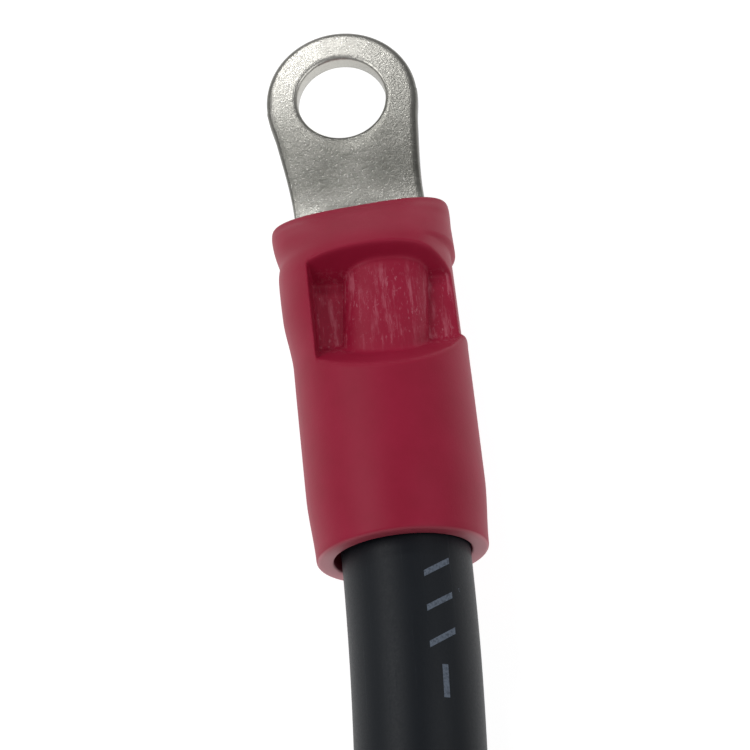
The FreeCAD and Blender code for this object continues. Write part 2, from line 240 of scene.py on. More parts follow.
def to_piece(name: str, mesh: bpy.types.Mesh, material: bpy.types.Material, slot: str) -> bpy.types.Object:
    """Turn a mesh into a smooth shaded piece that rides on the row's body.

    Args:
        name: Name of the piece.
        mesh: Finished mesh, in its place.
        material: Finish of the whole piece.
        slot: Name of the material slot, only written to the log.

    Returns:
        The new object.
    """
    mesh.name = name
    mesh.materials.clear()
    mesh.materials.append(material)
    for face in mesh.polygons:
        face.use_smooth = True
    piece = bpy.data.objects.new(name, mesh)
    bpy.context.scene.collection.objects.link(piece)
    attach(piece, "root")
    LOG.info("%s: %d faces, slot %s", name, len(mesh.polygons), slot)
    return piece


def finished_mesh(bm: bmesh.types.BMesh, name: str) -> bpy.types.Mesh:
    """Turn a bmesh into a mesh and free it.

    Args:
        bm: Skin to turn into a mesh.
        name: Name of the mesh.

    Returns:
        The new mesh.
    """
    mesh = bpy.data.meshes.new(name)
    bm.to_mesh(mesh)
    bm.free()
    return mesh


def mesh_with_own_places(bm: bmesh.types.BMesh, name: str) -> bpy.types.Mesh:
    """Turn a bmesh into a mesh that remembers its own places as the field 'own'."""
    mesh = finished_mesh(bm, name)
    add_field(mesh, "own", [vert.co.copy() for vert in mesh.vertices])
    return mesh


def join_skin(whole: bmesh.types.BMesh, part: bmesh.types.BMesh) -> None:
    """Add a second closed skin to a bmesh.

    Args:
        whole: Skin that grows.
        part: Skin that is added to it and freed.
    """
    mesh = finished_mesh(part, "part")
    whole.from_mesh(mesh)
    bpy.data.meshes.remove(mesh)


# ---- shader groups shared by the finishes ------------------------------------------
class NodeGroups:
    """Surface effects that more than one finish uses, each built once."""

    def __init__(self) -> None:
        """Build every group."""
        self.grain = self._grain()
        self.scuffs = self._scuffs()
        self.mottle = self._mottle()

    @staticmethod
    def _start(name: str, inputs: dict[str, tuple[str, float]], outputs: Sequence[str]) -> tuple:
        """Make an empty group with its sockets.

        Args:
            name: Name of the group.
            inputs: Socket names with their kind and default.
            outputs: Names of the value sockets that the group puts out.

        Returns:
            The group, its input node and its output node.
        """
        tree = bpy.data.node_groups.new(name, "ShaderNodeTree")
        for label, (kind, default) in inputs.items():
            socket = tree.interface.new_socket(name=label, in_out="INPUT", socket_type=kind)
            if kind == "NodeSocketFloat":
                socket.default_value = default
        for label in outputs:
            tree.interface.new_socket(name=label, in_out="OUTPUT", socket_type="NodeSocketFloat")
        source = tree.nodes.new("NodeGroupInput")
        sink = tree.nodes.new("NodeGroupOutput")
        return tree, source, sink

    @staticmethod
    def _in_millimetres(tree: bpy.types.NodeTree, vector: bpy.types.NodeSocket) -> bpy.types.NodeSocket:
        """Scale a place in metres to millimetres."""
        scale = tree.nodes.new("ShaderNodeVectorMath")
        scale.operation = "SCALE"
        scale.inputs["Scale"].default_value = 1000.0
        tree.links.new(vector, scale.inputs[0])
        return scale.outputs[0]

    def _grain(self) -> bpy.types.NodeTree:
        """Fine uneven surface: two sizes of noise, centred on a half."""
        tree, source, sink = self._start(
            "fine_grain",
            {
                "Place": ("NodeSocketVector", 0.0),
                "Fine per mm": ("NodeSocketFloat", 6.0),
                "Coarse per mm": ("NodeSocketFloat", 1.2),
            },
            ["Height", "Cloud"],
        )
        place = self._in_millimetres(tree, source.outputs["Place"])
        for label, scale, detail in (("Height", "Fine per mm", 3.0), ("Cloud", "Coarse per mm", 4.0)):
            noise = tree.nodes.new("ShaderNodeTexNoise")
            noise.inputs["Detail"].default_value = detail
            noise.inputs["Roughness"].default_value = 0.6
            tree.links.new(place, noise.inputs["Vector"])
            tree.links.new(source.outputs[scale], noise.inputs["Scale"])
            tree.links.new(noise.outputs["Fac"], sink.inputs[label])
        return tree

    def _scuffs(self) -> bpy.types.NodeTree:
        """Long thin rub marks along the barrel direction, as a mask from 0 to 1."""
        tree, source, sink = self._start(
            "rub_marks",
            {
                "Place": ("NodeSocketVector", 0.0),
                "Across per mm": ("NodeSocketFloat", 4.0),
                "Along per mm": ("NodeSocketFloat", 0.5),
                "Cover": ("NodeSocketFloat", 0.4),
            },
            ["Mask"],
        )
        place = self._in_millimetres(tree, source.outputs["Place"])
        stretch = tree.nodes.new("ShaderNodeCombineXYZ")
        tree.links.new(source.outputs["Across per mm"], stretch.inputs["X"])
        tree.links.new(source.outputs["Along per mm"], stretch.inputs["Y"])
        tree.links.new(source.outputs["Across per mm"], stretch.inputs["Z"])
        scaled = tree.nodes.new("ShaderNodeVectorMath")
        scaled.operation = "MULTIPLY"
        tree.links.new(place, scaled.inputs[0])
        tree.links.new(stretch.outputs[0], scaled.inputs[1])
        noise = tree.nodes.new("ShaderNodeTexNoise")
        noise.inputs["Scale"].default_value = 1.0
        noise.inputs["Detail"].default_value = 5.0
        noise.inputs["Roughness"].default_value = 0.72
        tree.links.new(scaled.outputs[0], noise.inputs["Vector"])
        floor_level = tree.nodes.new("ShaderNodeMath")
        floor_level.operation = "SUBTRACT"
        floor_level.inputs[0].default_value = 1.0
        tree.links.new(source.outputs["Cover"], floor_level.inputs[1])
        remap = tree.nodes.new("ShaderNodeMapRange")
        remap.interpolation_type = "SMOOTHSTEP"
        remap.inputs["To Min"].default_value = 0.0
        remap.inputs["To Max"].default_value = 1.0
        top = tree.nodes.new("ShaderNodeMath")
        top.operation = "ADD"
        top.inputs[1].default_value = 0.16
        tree.links.new(floor_level.outputs[0], top.inputs[0])
        tree.links.new(noise.outputs["Fac"], remap.inputs["Value"])
        tree.links.new(floor_level.outputs[0], remap.inputs["From Min"])
        tree.links.new(top.outputs[0], remap.inputs["From Max"])
        tree.links.new(remap.outputs[0], sink.inputs["Mask"])
        return tree

    def _mottle(self) -> bpy.types.NodeTree:
        """Cell-like patches, as left by a hot tin bath or by cut copper, from 0 to 1."""
        tree, source, sink = self._start(
            "tin_mottle",
            {"Place": ("NodeSocketVector", 0.0), "Cells per mm": ("NodeSocketFloat", 3.0)},
            ["Patch"],
        )
        place = self._in_millimetres(tree, source.outputs["Place"])
        cells = tree.nodes.new("ShaderNodeTexVoronoi")
        cells.feature = "SMOOTH_F1"
        cells.inputs["Smoothness"].default_value = 0.6
        tree.links.new(place, cells.inputs["Vector"])
        tree.links.new(source.outputs["Cells per mm"], cells.inputs["Scale"])
        split = tree.nodes.new("ShaderNodeSeparateXYZ")
        tree.links.new(cells.outputs["Color"], split.inputs[0])
        tree.links.new(split.outputs["X"], sink.inputs["Patch"])
        return tree


def linear(red: int, green: int, blue: int) -> tuple[float, float, float, float]:
    """Turn an sRGB colour of 0 to 255 into a linear shader colour."""

    def one(value: int) -> float:
        share = value / 255.0
        return share / 12.92 if share <= 0.04045 else ((share + 0.055) / 1.055) ** 2.4

    return (one(red), one(green), one(blue), 1.0)


class FinishNodes:
    """A new material with short ways to add and join its nodes."""

    def __init__(self, name: str) -> None:
        """Make the material with an empty tree, a Principled shader and its output.

        Args:
            name: Name of the material.
        """
        self.material = bpy.data.materials.new(name)
        self.material.use_nodes = True
        self.tree = self.material.node_tree
        self.tree.nodes.clear()
        self.output = self.tree.nodes.new("ShaderNodeOutputMaterial")
        self.shader = self.tree.nodes.new("ShaderNodeBsdfPrincipled")
        self.join(self.shader.outputs[0], self.output.inputs["Surface"])

    def add(self, kind: str, **settings: object) -> bpy.types.Node:
        """Add a node of a kind and set its plain properties."""
        node = self.tree.nodes.new(kind)
        for name, value in settings.items():
            setattr(node, name, value)
        return node

    def join(self, start: bpy.types.NodeSocket, end: bpy.types.NodeSocket) -> None:
        """Link one socket to another."""
        self.tree.links.new(start, end)

    def field(self, name: str) -> bpy.types.Node:
        """Read a named field of the mesh."""
        return self.add("ShaderNodeAttribute", attribute_type="GEOMETRY", attribute_name=name)

    def object_place(self) -> bpy.types.NodeSocket:
        """Place on the object, in metres."""
        return self.add("ShaderNodeTexCoord").outputs["Object"]

    def group(self, tree: bpy.types.NodeTree, place: bpy.types.NodeSocket, **values: float) -> bpy.types.Node:
        """Place a shared effect in this material.

        Args:
            tree: The effect's node group.
            place: Where on the surface, in metres.
            **values: Values of its sockets, with spaces written as underscores.

        Returns:
            The group node.
        """
        node = self.add("ShaderNodeGroup", node_tree=tree)
        self.join(place, node.inputs["Place"])
        for name, value in values.items():
            node.inputs[name.replace("_", " ")].default_value = value
        return node

    def math(
        self, operation: str, a: object, b: object = 0.0, c: object = 0.0, clamp: bool = False
    ) -> bpy.types.NodeSocket:
        """Combine two or three numbers or sockets.

        Args:
            operation: Blender's name of the operation.
            a: First number or socket.
            b: Second number or socket.
            c: Third number or socket, for the operations that have one.
            clamp: Whether the result is kept from 0 to 1.

        Returns:
            The result's socket.
        """
        node = self.add("ShaderNodeMath", operation=operation, use_clamp=clamp)
        for index, value in enumerate((a, b, c)):
            if isinstance(value, (int, float)):
                node.inputs[index].default_value = float(value)
            else:
                self.join(value, node.inputs[index])
        return node.outputs[0]

    def ramp(
        self, value: bpy.types.NodeSocket, stops: Sequence[tuple[float, object]]
    ) -> bpy.types.NodeSocket:
        """Colour or grey ramp over a value.

        Args:
            value: Value from 0 to 1.
            stops: Places with a linear colour, or a grey number.

        Returns:
            The ramp's colour socket.
        """
        node = self.add("ShaderNodeValToRGB")
        elements = node.color_ramp.elements
        while len(elements) < len(stops):
            elements.new(0.5)
        for element, (position, colour) in zip(elements, stops):
            element.position = position
            element.color = (colour,) * 3 + (1.0,) if isinstance(colour, float) else colour
        self.join(value, node.inputs["Fac"])
        return node.outputs["Color"]

    def mix(self, amount: object, a: object, b: object) -> bpy.types.NodeSocket:
        """Mix two colours or sockets by an amount.

        Args:
            amount: Share of the second colour, as a number or a socket.
            a: First colour or socket.
            b: Second colour or socket.

        Returns:
            The mixed colour socket.
        """
        node = self.add("ShaderNodeMix", data_type="RGBA")
        for socket, value in ((node.inputs[0], amount), (node.inputs[6], a), (node.inputs[7], b)):
            if isinstance(value, (int, float)):
                socket.default_value = float(value)
            elif isinstance(value, tuple):
                socket.default_value = value
            else:
                self.join(value, socket)
        return node.outputs[2]

    def bump(self, height: bpy.types.NodeSocket, depth_mm: float, strength: float = 1.0) -> None:
        """Raise the surface by a height from 0 to 1, on top of any earlier bump.

        Args:
            height: Height socket.
            depth_mm: Full depth in millimetres.
            strength: How much of the bump shows.
        """
        node = self.add("ShaderNodeBump")
        node.inputs["Distance"].default_value = depth_mm * MM
        node.inputs["Strength"].default_value = strength
        self.join(height, node.inputs["Height"])
        if self.shader.inputs["Normal"].is_linked:
            self.join(self.shader.inputs["Normal"].links[0].from_socket, node.inputs["Normal"])
        self.join(node.outputs[0], self.shader.inputs["Normal"])


# ---- finishes ------------------------------------------------------------------------
@dataclass(frozen=True)
class TinFinish:
    """Hot-dipped tin over copper: satin, grainy, lightly scratched, with painted highlight, painted glints
    and painted edge shade in its colour.
    """

    dark: tuple = linear(94, 94, 88)
    light: tuple = linear(212, 210, 203)
    edge: tuple = linear(104, 103, 99)
    painted_glint: tuple = linear(232, 231, 226)
    scratch_roughness: tuple = linear(120, 120, 120)
    grain_depth_mm: float = 0.012
    scratch_depth_mm: float = 0.004

    def build(self, groups: NodeGroups) -> bpy.types.Material:
        """Make the material.

        Args:
            groups: Shared surface effects.

        Returns:
            The finished material.
        """
        nodes = FinishNodes("tinned_copper")
        own = nodes.field("own").outputs["Vector"]
        grain = nodes.group(groups.grain, own, Fine_per_mm=9.0, Coarse_per_mm=0.35)
        mottle = nodes.group(groups.mottle, own, Cells_per_mm=4.5)
        scratches = nodes.group(groups.scuffs, own, Across_per_mm=5.0, Along_per_mm=1.6, Cover=0.42)
        tone = nodes.math("MULTIPLY_ADD", mottle.outputs["Patch"], 0.12, grain.outputs["Cloud"])
        tone = nodes.math("MULTIPLY", tone, 0.4)
        # Painted highlight and shade: the tin is lightened round the back of the ring and by the sleeve, and
        # darkened towards the right side.
        tone = nodes.math("MULTIPLY_ADD", nodes.field("painted_highlight").outputs["Fac"], 0.72, tone)
        colour = nodes.ramp(tone, [(0.18, self.dark), (0.98, self.light)])
        # Painted shade: the tin's colour is darkened over the rounded stamped outline.
        edge = nodes.field("stamped_edge").outputs["Fac"]
        painted_edge_shade = nodes.ramp(edge, [(0.25, 0.0), (0.8, 1.0)])
        colour = nodes.mix(nodes.math("MULTIPLY", painted_edge_shade, 0.75), colour, self.edge)
        # Painted glints: bright flecks along the scratch marks, thickest by the sleeve.
        painted_glint = nodes.math("MULTIPLY", scratches.outputs["Mask"], nodes.field("near_sleeve").outputs["Fac"])
        colour = nodes.mix(nodes.math("MULTIPLY", painted_glint, 0.7), colour, self.painted_glint)
        nodes.join(colour, nodes.shader.inputs["Base Color"])
        nodes.shader.inputs["Metallic"].default_value = 1.0
        rough = nodes.ramp(grain.outputs["Height"], [(0.3, 0.26), (0.7, 0.42)])
        dulled = nodes.math("MULTIPLY", scratches.outputs["Mask"], 0.5)
        rough = nodes.mix(dulled, rough, self.scratch_roughness)
        nodes.join(rough, nodes.shader.inputs["Roughness"])
        nodes.bump(grain.outputs["Cloud"], 0.025, 0.6)
        nodes.bump(grain.outputs["Height"], self.grain_depth_mm)
        nodes.bump(mottle.outputs["Patch"], self.grain_depth_mm * 0.5, 0.6)
        nodes.bump(scratches.outputs["Mask"], self.scratch_depth_mm, 0.8)
        return nodes.material


@dataclass(frozen=True)
class VinylFinish:
    """Red vinyl of the sleeve: satin, with rub marks where the die pressed it."""

    base: tuple = linear(158, 24, 57)
    deep: tuple = linear(151, 21, 52)
    rubbed: tuple = linear(222, 142, 158)
    cut: tuple = linear(205, 140, 148)

    def build(self, groups: NodeGroups) -> bpy.types.Material:
        """Make the material.

        Args:
            groups: Shared surface effects.

        Returns:
            The finished material.
        """
        nodes = FinishNodes("red_vinyl")
        own = nodes.field("own").outputs["Vector"]
        grain = nodes.group(groups.grain, own, Fine_per_mm=9.0, Coarse_per_mm=0.5)
        rubs = nodes.group(groups.scuffs, own, Across_per_mm=3.0, Along_per_mm=0.4, Cover=0.5)
        fine_rubs = nodes.group(groups.scuffs, own, Across_per_mm=6.5, Along_per_mm=2.4, Cover=0.45)
        depth = nodes.ramp(grain.outputs["Cloud"], [(0.3, 0.0), (0.7, 1.0)])
        base = nodes.mix(depth, self.deep, self.base)
        mask = nodes.math("MULTIPLY", rubs.outputs["Mask"], 0.34)
        mask = nodes.math("MAXIMUM", mask, nodes.math("MULTIPLY", fine_rubs.outputs["Mask"], 0.55))
        floor_only = nodes.field("die_floor").outputs["Fac"]
        patches = nodes.ramp(grain.outputs["Cloud"], [(0.4, 0.35), (0.58, 1.0)])
        mask = nodes.math("MULTIPLY", mask, floor_only, clamp=True)
        mask = nodes.math("MULTIPLY", mask, patches)
        colour = nodes.mix(mask, base, self.rubbed)
        # Pale cut face at the mouth; its fade towards the top is painted shade.
        cut = nodes.field("cut_face").outputs["Fac"]
        colour = nodes.mix(nodes.math("MULTIPLY", cut, 0.8), colour, self.cut)
        nodes.join(colour, nodes.shader.inputs["Base Color"])
        rough = nodes.ramp(mask, [(0.0, 0.5), (0.6, 0.34)])
        nodes.join(rough, nodes.shader.inputs["Roughness"])
        nodes.shader.inputs["IOR"].default_value = 1.5
        nodes.shader.inputs["Specular IOR Level"].default_value = 0.22
        nodes.bump(grain.outputs["Height"], 0.008, 0.7)
        nodes.bump(grain.outputs["Cloud"], 0.03, 0.4)
        nodes.bump(mask, 0.02, 0.7)
        return nodes.material


@dataclass(frozen=True)
class PrintRow:
    """Row of printed strokes on the cable, in millimetres."""

    half_height: float = 0.78
    half_stroke: float = 0.17
    start: float = 9.8
    repeat: float = 12.6
    slant: float = 0.5
    tick_pitch: float = 1.9
    tick_zone: float = 5.4
    bar_middle: float = 7.0
    bar_half_length: float = 0.85


PRINT = PrintRow()


@dataclass(frozen=True)
class CableFinish:
    """Black extruded insulation with faint draw lines and a row of plain printed marks."""

    base: tuple = linear(16, 21, 27)
    haze: tuple = linear(27, 33, 40)
    ink: tuple = linear(98, 108, 122)

    def build(self, groups: NodeGroups) -> bpy.types.Material:
        """Make the material.

        Args:
            groups: Shared surface effects.

        Returns:
            The finished material.
        """
        nodes = FinishNodes("black_pvc")
        straight = nodes.field("straight").outputs["Vector"]
        grain = nodes.group(groups.grain, straight, Fine_per_mm=8.0, Coarse_per_mm=0.6)
        lines = nodes.group(groups.scuffs, straight, Across_per_mm=6.0, Along_per_mm=0.08, Cover=0.42)
        haze = nodes.math("MULTIPLY", lines.outputs["Mask"], 0.45)
        base = nodes.mix(haze, self.base, self.haze)
        base = nodes.mix(nodes.math("MULTIPLY", grain.outputs["Cloud"], 0.35), base, self.haze)
        marks = self._printed_marks(nodes)
        worn = nodes.math("MULTIPLY", marks, nodes.ramp(grain.outputs["Height"], [(0.3, 0.45), (0.55, 1.0)]))
        nodes.join(nodes.mix(worn, base, self.ink), nodes.shader.inputs["Base Color"])
        rough = nodes.ramp(grain.outputs["Height"], [(0.3, 0.42), (0.7, 0.52)])
        nodes.join(rough, nodes.shader.inputs["Roughness"])
        nodes.shader.inputs["Specular IOR Level"].default_value = 0.22
        nodes.bump(grain.outputs["Height"], 0.004, 0.7)
        nodes.bump(lines.outputs["Mask"], 0.004, 0.7)
        return nodes.material

    @staticmethod
    def _printed_marks(nodes: FinishNodes) -> bpy.types.NodeSocket:
        """Plain ink strokes in a row along the cable: slanted ticks, a bar, and a gap.

        Args:
            nodes: Material being built.

        Returns:
            Mask socket of the ink.
        """
        printed = nodes.add("ShaderNodeSeparateXYZ")
        nodes.join(nodes.field("printed").outputs["Vector"], printed.inputs[0])
        across = nodes.math("MULTIPLY", printed.outputs["X"], 1000.0)
        along = nodes.math("MULTIPLY", printed.outputs["Y"], 1000.0)
        in_row = nodes.math("LESS_THAN", nodes.math("ABSOLUTE", across), PRINT.half_height)
        group = nodes.math("WRAP", nodes.math("SUBTRACT", along, PRINT.start), PRINT.repeat, 0.0)
        slant = nodes.math("MULTIPLY_ADD", across, PRINT.slant, group)
        tick = nodes.math("WRAP", slant, PRINT.tick_pitch, 0.0)
        slanted = nodes.math("COMPARE", tick, PRINT.tick_pitch / 2, PRINT.half_stroke)
        tick_zone = nodes.math("LESS_THAN", group, PRINT.tick_zone)
        ticks = nodes.math("MULTIPLY", nodes.math("MULTIPLY", slanted, tick_zone), in_row)
        bar_across = nodes.math("COMPARE", across, 0.0, PRINT.half_stroke)
        bar_along = nodes.math("COMPARE", group, PRINT.bar_middle, PRINT.bar_half_length)
        bar = nodes.math("MULTIPLY", bar_across, bar_along)
        return nodes.math("MAXIMUM", ticks, bar)


@dataclass(frozen=True)
class CopperFinish:
    """Bare drawn copper wire, or the paler braze that closes the barrel."""

    name: str
    dark: tuple
    light: tuple
    roughness: tuple[float, float] = (0.28, 0.42)

    def build(self, groups: NodeGroups) -> bpy.types.Material:
        """Make the material.

        Args:
            groups: Shared surface effects.

        Returns:
            The finished material.
        """
        nodes = FinishNodes(self.name)
        place = nodes.object_place()
        grain = nodes.group(groups.grain, place, Fine_per_mm=9.0, Coarse_per_mm=1.5)
        drawn = nodes.group(groups.scuffs, place, Across_per_mm=12.0, Along_per_mm=0.4, Cover=0.5)
        colour = nodes.ramp(grain.outputs["Cloud"], [(0.3, self.dark), (0.7, self.light)])
        nodes.join(colour, nodes.shader.inputs["Base Color"])
        nodes.shader.inputs["Metallic"].default_value = 1.0
        low, high = self.roughness
        rough = nodes.ramp(grain.outputs["Height"], [(0.3, low), (0.7, high)])
        nodes.join(rough, nodes.shader.inputs["Roughness"])
        nodes.bump(drawn.outputs["Mask"], 0.004, 0.8)
        return nodes.material


@dataclass(frozen=True)
class TieFinish:
    """Black ribbed plastic over the tie's wire."""

    base: tuple = linear(34, 35, 37)
    worn: tuple = linear(72, 73, 76)

    def build(self, groups: NodeGroups) -> bpy.types.Material:
        """Make the material.

        Args:
            groups: Shared surface effects.

        Returns:
            The finished material.
        """
        nodes = FinishNodes("tie_plastic")
        place = nodes.object_place()
        grain = nodes.group(groups.grain, place, Fine_per_mm=7.0, Coarse_per_mm=0.9)
        colour = nodes.ramp(grain.outputs["Cloud"], [(0.35, self.base), (0.85, self.worn)])
        nodes.join(colour, nodes.shader.inputs["Base Color"])
        rough = nodes.ramp(grain.outputs["Height"], [(0.3, 0.38), (0.7, 0.55)])
        nodes.join(rough, nodes.shader.inputs["Roughness"])
        nodes.bump(grain.outputs["Height"], 0.01, 0.8)
        return nodes.material


@dataclass(frozen=True)
class FloorFinish:
    """Plain white studio paper."""

    glow: float = 0.9

    def build(self, groups: NodeGroups) -> bpy.types.Material:
        """Make the material.

        Args:
            groups: Shared surface effects.

        Returns:
            The finished material.
        """
        nodes = FinishNodes("studio_floor")
        grain = nodes.group(groups.grain, nodes.object_place(), Fine_per_mm=0.8, Coarse_per_mm=0.05)
        tone = nodes.ramp(grain.outputs["Cloud"], [(0.3, 0.3), (0.7, 0.33)])
        nodes.join(tone, nodes.shader.inputs["Base Color"])
        nodes.shader.inputs["Roughness"].default_value = 0.9
        nodes.shader.inputs["Specular IOR Level"].default_value = 0.1
        nodes.shader.inputs["Emission Color"].default_value = (1.0, 1.0, 1.0, 1.0)
        nodes.shader.inputs["Emission Strength"].default_value = self.glow
        return nodes.material


# ---- crimp shape, shared by sleeve and barrel ------------------------------------------
@dataclass(frozen=True)
class CrimpDie:
    """Face of the crimping die as a height over the barrel axis, in millimetres."""

    side_step: float = 0.5
    roll_deg: float = 6.0
    half_width: float = 4.05
    open_side: float = 0.7
    hump_half_width: float = 2.4
    hump_height: float = 3.0
    shelf_height: float = 1.5
    front: float = 5.2
    back: float = 9.06
    front_slope: float = 0.507
    back_slope: float = 0.77
    side_slope: float = 0.12
    skew: float = -0.1
    hump_power: float = 2.8
    hump_crown: float = 0.55
    hump_foot_round: float = 0.22
    rear_foot_round: float = 0.3
    side_foot_round: float = 0.75
    press_edge: float = 0.3
    squeezed_wall: float = 0.45

    def height(self, u: float, s: float) -> float:
        """Height of the die's face.

        Args:
            u: Distance across, from the die's middle.
            s: Distance back from the sleeve's rim.

        Returns:
            Height over the barrel axis, in the die's own turned frame.
        """
        middle = (self.front + self.back) / 2
        across = abs(u - self.skew * (s - middle)) / self.hump_half_width
        hump = (1.0 - across**self.hump_power) ** self.hump_crown if across < 1.0 else 0.0
        face = self.shelf_height + (self.hump_height - self.shelf_height) * hump
        front_wall = self.shelf_height + (self.front - s) / self.front_slope
        back_wall = self.shelf_height + (s - self.back) / self.back_slope
        side_reach = self.half_width + self.open_side * (u > 0)
        side_wall = self.shelf_height + (abs(u) - side_reach) / self.side_slope
        face = soft_max(face, front_wall, self.hump_foot_round)
        face = soft_max(face, back_wall, self.rear_foot_round)
        return soft_max(face, side_wall, self.side_foot_round)

    def press(self, u: float, w: float, s: float, lift: float = 0.0) -> tuple[float, float, float]:
        """Push a point of the skin down to the die.

        Args:
            u: Across, from the barrel axis.
            w: Up, from the barrel axis.
            s: Distance back from the sleeve's rim.
            lift: Distance of this skin over the die's face.

        Returns:
            The new u and w, and how far the point was pushed.
        """
        roll = math.radians(self.roll_deg)
        across = (u - self.side_step) * math.cos(roll) - w * math.sin(roll)
        up = (u - self.side_step) * math.sin(roll) + w * math.cos(roll)
        if up < -0.5:
            return u, w, 0.0
        new_up = soft_min(up, self.height(across, s) + lift, self.press_edge)
        pushed = up - new_up
        new_u = self.side_step + across * math.cos(roll) + new_up * math.sin(roll)
        new_w = -across * math.sin(roll) + new_up * math.cos(roll)
        return new_u, new_w, pushed


# ---- sleeve ----------------------------------------------------------------------------
class SleeveZone(Enum):
    """Which skin of the sleeve a row of points belongs to."""

    OUTSIDE = "outside"
    INSIDE = "inside"


@dataclass(frozen=True)
class SleeveRow:
    """One row of points round the sleeve."""

    zone: SleeveZone
    back: float
    inset: float


@dataclass
class VinylSleeve:
    """Vinyl sleeve: flat rim, crimped collar, round body and a mouth round the cable."""

    layout: LeadLayout
    die: CrimpDie
    around: int = 288
    top_share: float = 0.7
    body_radius: float = 4.98
    mouth_radius: float = 4.75
    mouth_wall: float = 0.95
    lip_round: float = 0.22
    mouth_round: float = 0.12
    rim_inner_round: float = 0.2
    collar_end: float = 3.2
    pressed_end: float = 12.4
    taper_length: float = 4.0
    rim_turn: float = 0.046
    side_pinch: float = 0.3
    middle: tuple = ((0.0, -0.36), (1.2, -0.34), (3.1, -0.16), (3.7, -0.2), (6.5, -0.16), (9.3, 0.0))
    half_width: tuple = (
        (0.0, 5.2), (0.5, 5.24), (1.6, 5.18), (3.0, 5.08), (3.3, 5.1), (4.2, 5.16), (6.5, 5.14),
        (8.4, 5.03), (9.6, 4.97), (12.0, 4.98),
    )
    top: tuple = (
        (0.0, 1.15), (1.0, 1.95), (2.0, 2.8), (3.0, 3.55), (3.7, 3.95), (4.6, 4.35),
        (6.5, 4.8), (9.0, 4.92), (12.0, 4.98),
    )
    bottom: tuple = ((0.0, -3.72), (0.6, -3.95), (1.6, -4.45), (3.0, -4.9), (4.5, -4.98), (12.0, -4.98))
    squareness: tuple = ((0.0, 3.0), (1.2, 2.85), (3.0, 2.5), (5.0, 2.3), (8.0, 2.15), (12.0, 2.0))
    rim_wall: float = 0.95
    seat_gap: float = 0.05

    def _rows(self) -> list[SleeveRow]:
        """Rows from the rim along the outside, round the mouth and back along the inside."""
        length, lip, outside = self.layout.sleeve_length, self.lip_round, SleeveZone.OUTSIDE
        taper = length - self.taper_length
        rows = self._edge_rows(outside, 0.0, lip, (90, 67, 45, 22))
        stretches = (
            (lip, self.collar_end, 0.16),
            (self.collar_end, self.pressed_end, 0.085),
            (self.pressed_end, taper, 0.5),
            (taper, length - lip, 0.35),
        )
        for start, end, step in stretches:
            rows += [SleeveRow(outside, back, 0.0) for back in spaced(start, end, step)]
        rows += self._edge_rows(outside, length, lip, (0, 22, 45, 67, 90))
        rows += self._edge_rows(SleeveZone.INSIDE, length, self.mouth_round, (90, 60, 30, 0))
        entry_end = self.layout.barrel_set_back + self.layout.barrel_length + 0.45
        stretches = (
            (length - self.mouth_round - 0.3, entry_end, 0.8),
            (entry_end, 3.0, 0.2),
            (3.0, 0.3, 0.3),
        )
        for start, end, step in stretches:
            rows += [SleeveRow(SleeveZone.INSIDE, back, 0.0) for back in spaced(start, end, step)]
        rows += self._edge_rows(SleeveZone.INSIDE, 0.0, self.rim_inner_round, (0, 30, 60, 90))
        return rows

    @staticmethod
    def _edge_rows(zone: SleeveZone, face: float, radius: float, angles: Sequence[float]) -> list[SleeveRow]:
        """Rows over the rounded edge of the rim's face or the mouth's face.

        Args:
            zone: Skin that the edge belongs to.
            face: Distance back of the face; 0 is the rim.
            radius: Radius of the edge.
            angles: Steps in degrees; 90 lies on the face.

        Returns:
            The rows in the order of the angles.
        """
        inward = 1.0 if face == 0.0 else -1.0
        return [SleeveRow(zone, face + inward * deep, inset) for inset, deep in quarter_round(radius, angles)]

    def _direction(self, index: int) -> float:
        """Angle of a point round the sleeve, with more points over the pressed top half."""
        share = index / self.around
        if share < self.top_share:
            return math.pi * share / self.top_share
        return math.pi * (1 + (share - self.top_share) / (1 - self.top_share))

    def _free_outside(self, angle: float, back: float) -> tuple[float, float]:
        """Outside of the sleeve before the die presses it, from the barrel axis."""
        length = self.layout.sleeve_length
        power = 2.0 / along_table(self.squareness, back)
        half = along_table(self.half_width, back)
        shrink = (self.body_radius - self.mouth_radius) * smooth(back, length - self.taper_length, length)
        half -= shrink
        across, up = math.cos(angle), math.sin(angle)
        pinch = smooth(back, 3.05, 3.35) * (1 - smooth(back, 8.75, 9.1)) * smooth(across, 0.55, 0.9)
        half -= self.side_pinch * pinch
        u = along_table(self.middle, back) + half * math.copysign(abs(across) ** power, across)
        top = along_table(self.top, back)
        low = along_table(self.bottom, back)
        centre = (top + low) / 2
        w = centre + ((top - low) / 2 - shrink) * math.copysign(abs(up) ** power, up)
        return u, w

    def _inside(self, angle: float, back: float) -> tuple[float, float]:
        """Inside of the sleeve: rim opening, seat on the barrel, then the cable entry."""
        seat = self.layout.barrel_radius + self.seat_gap
        entry = self.mouth_radius - self.mouth_wall
        start = self.layout.barrel_set_back
        seat_end = start + self.layout.barrel_length
        if back >= start:
            radius = seat + (entry - seat) * smooth(back, seat_end, seat_end + 0.5)
            return radius * math.cos(angle), radius * math.sin(angle)
        share = smooth(back, 0.5, start)
        near_rim = 0.3
        u, w = self._free_outside(angle, near_rim)
        centre = (along_table(self.middle, near_rim), (self.top[0][1] + self.bottom[0][1]) / 2)
        half = along_table(self.half_width, near_rim)
        high = (self.top[0][1] - self.bottom[0][1]) / 2
        u = centre[0] + (u - centre[0]) * (half - self.rim_wall) / half
        w = centre[1] + (w - centre[1]) * (high - self.rim_wall) / high
        return (
            u + (seat * math.cos(angle) - u) * share,
            w + (seat * math.sin(angle) - w) * share,
        )

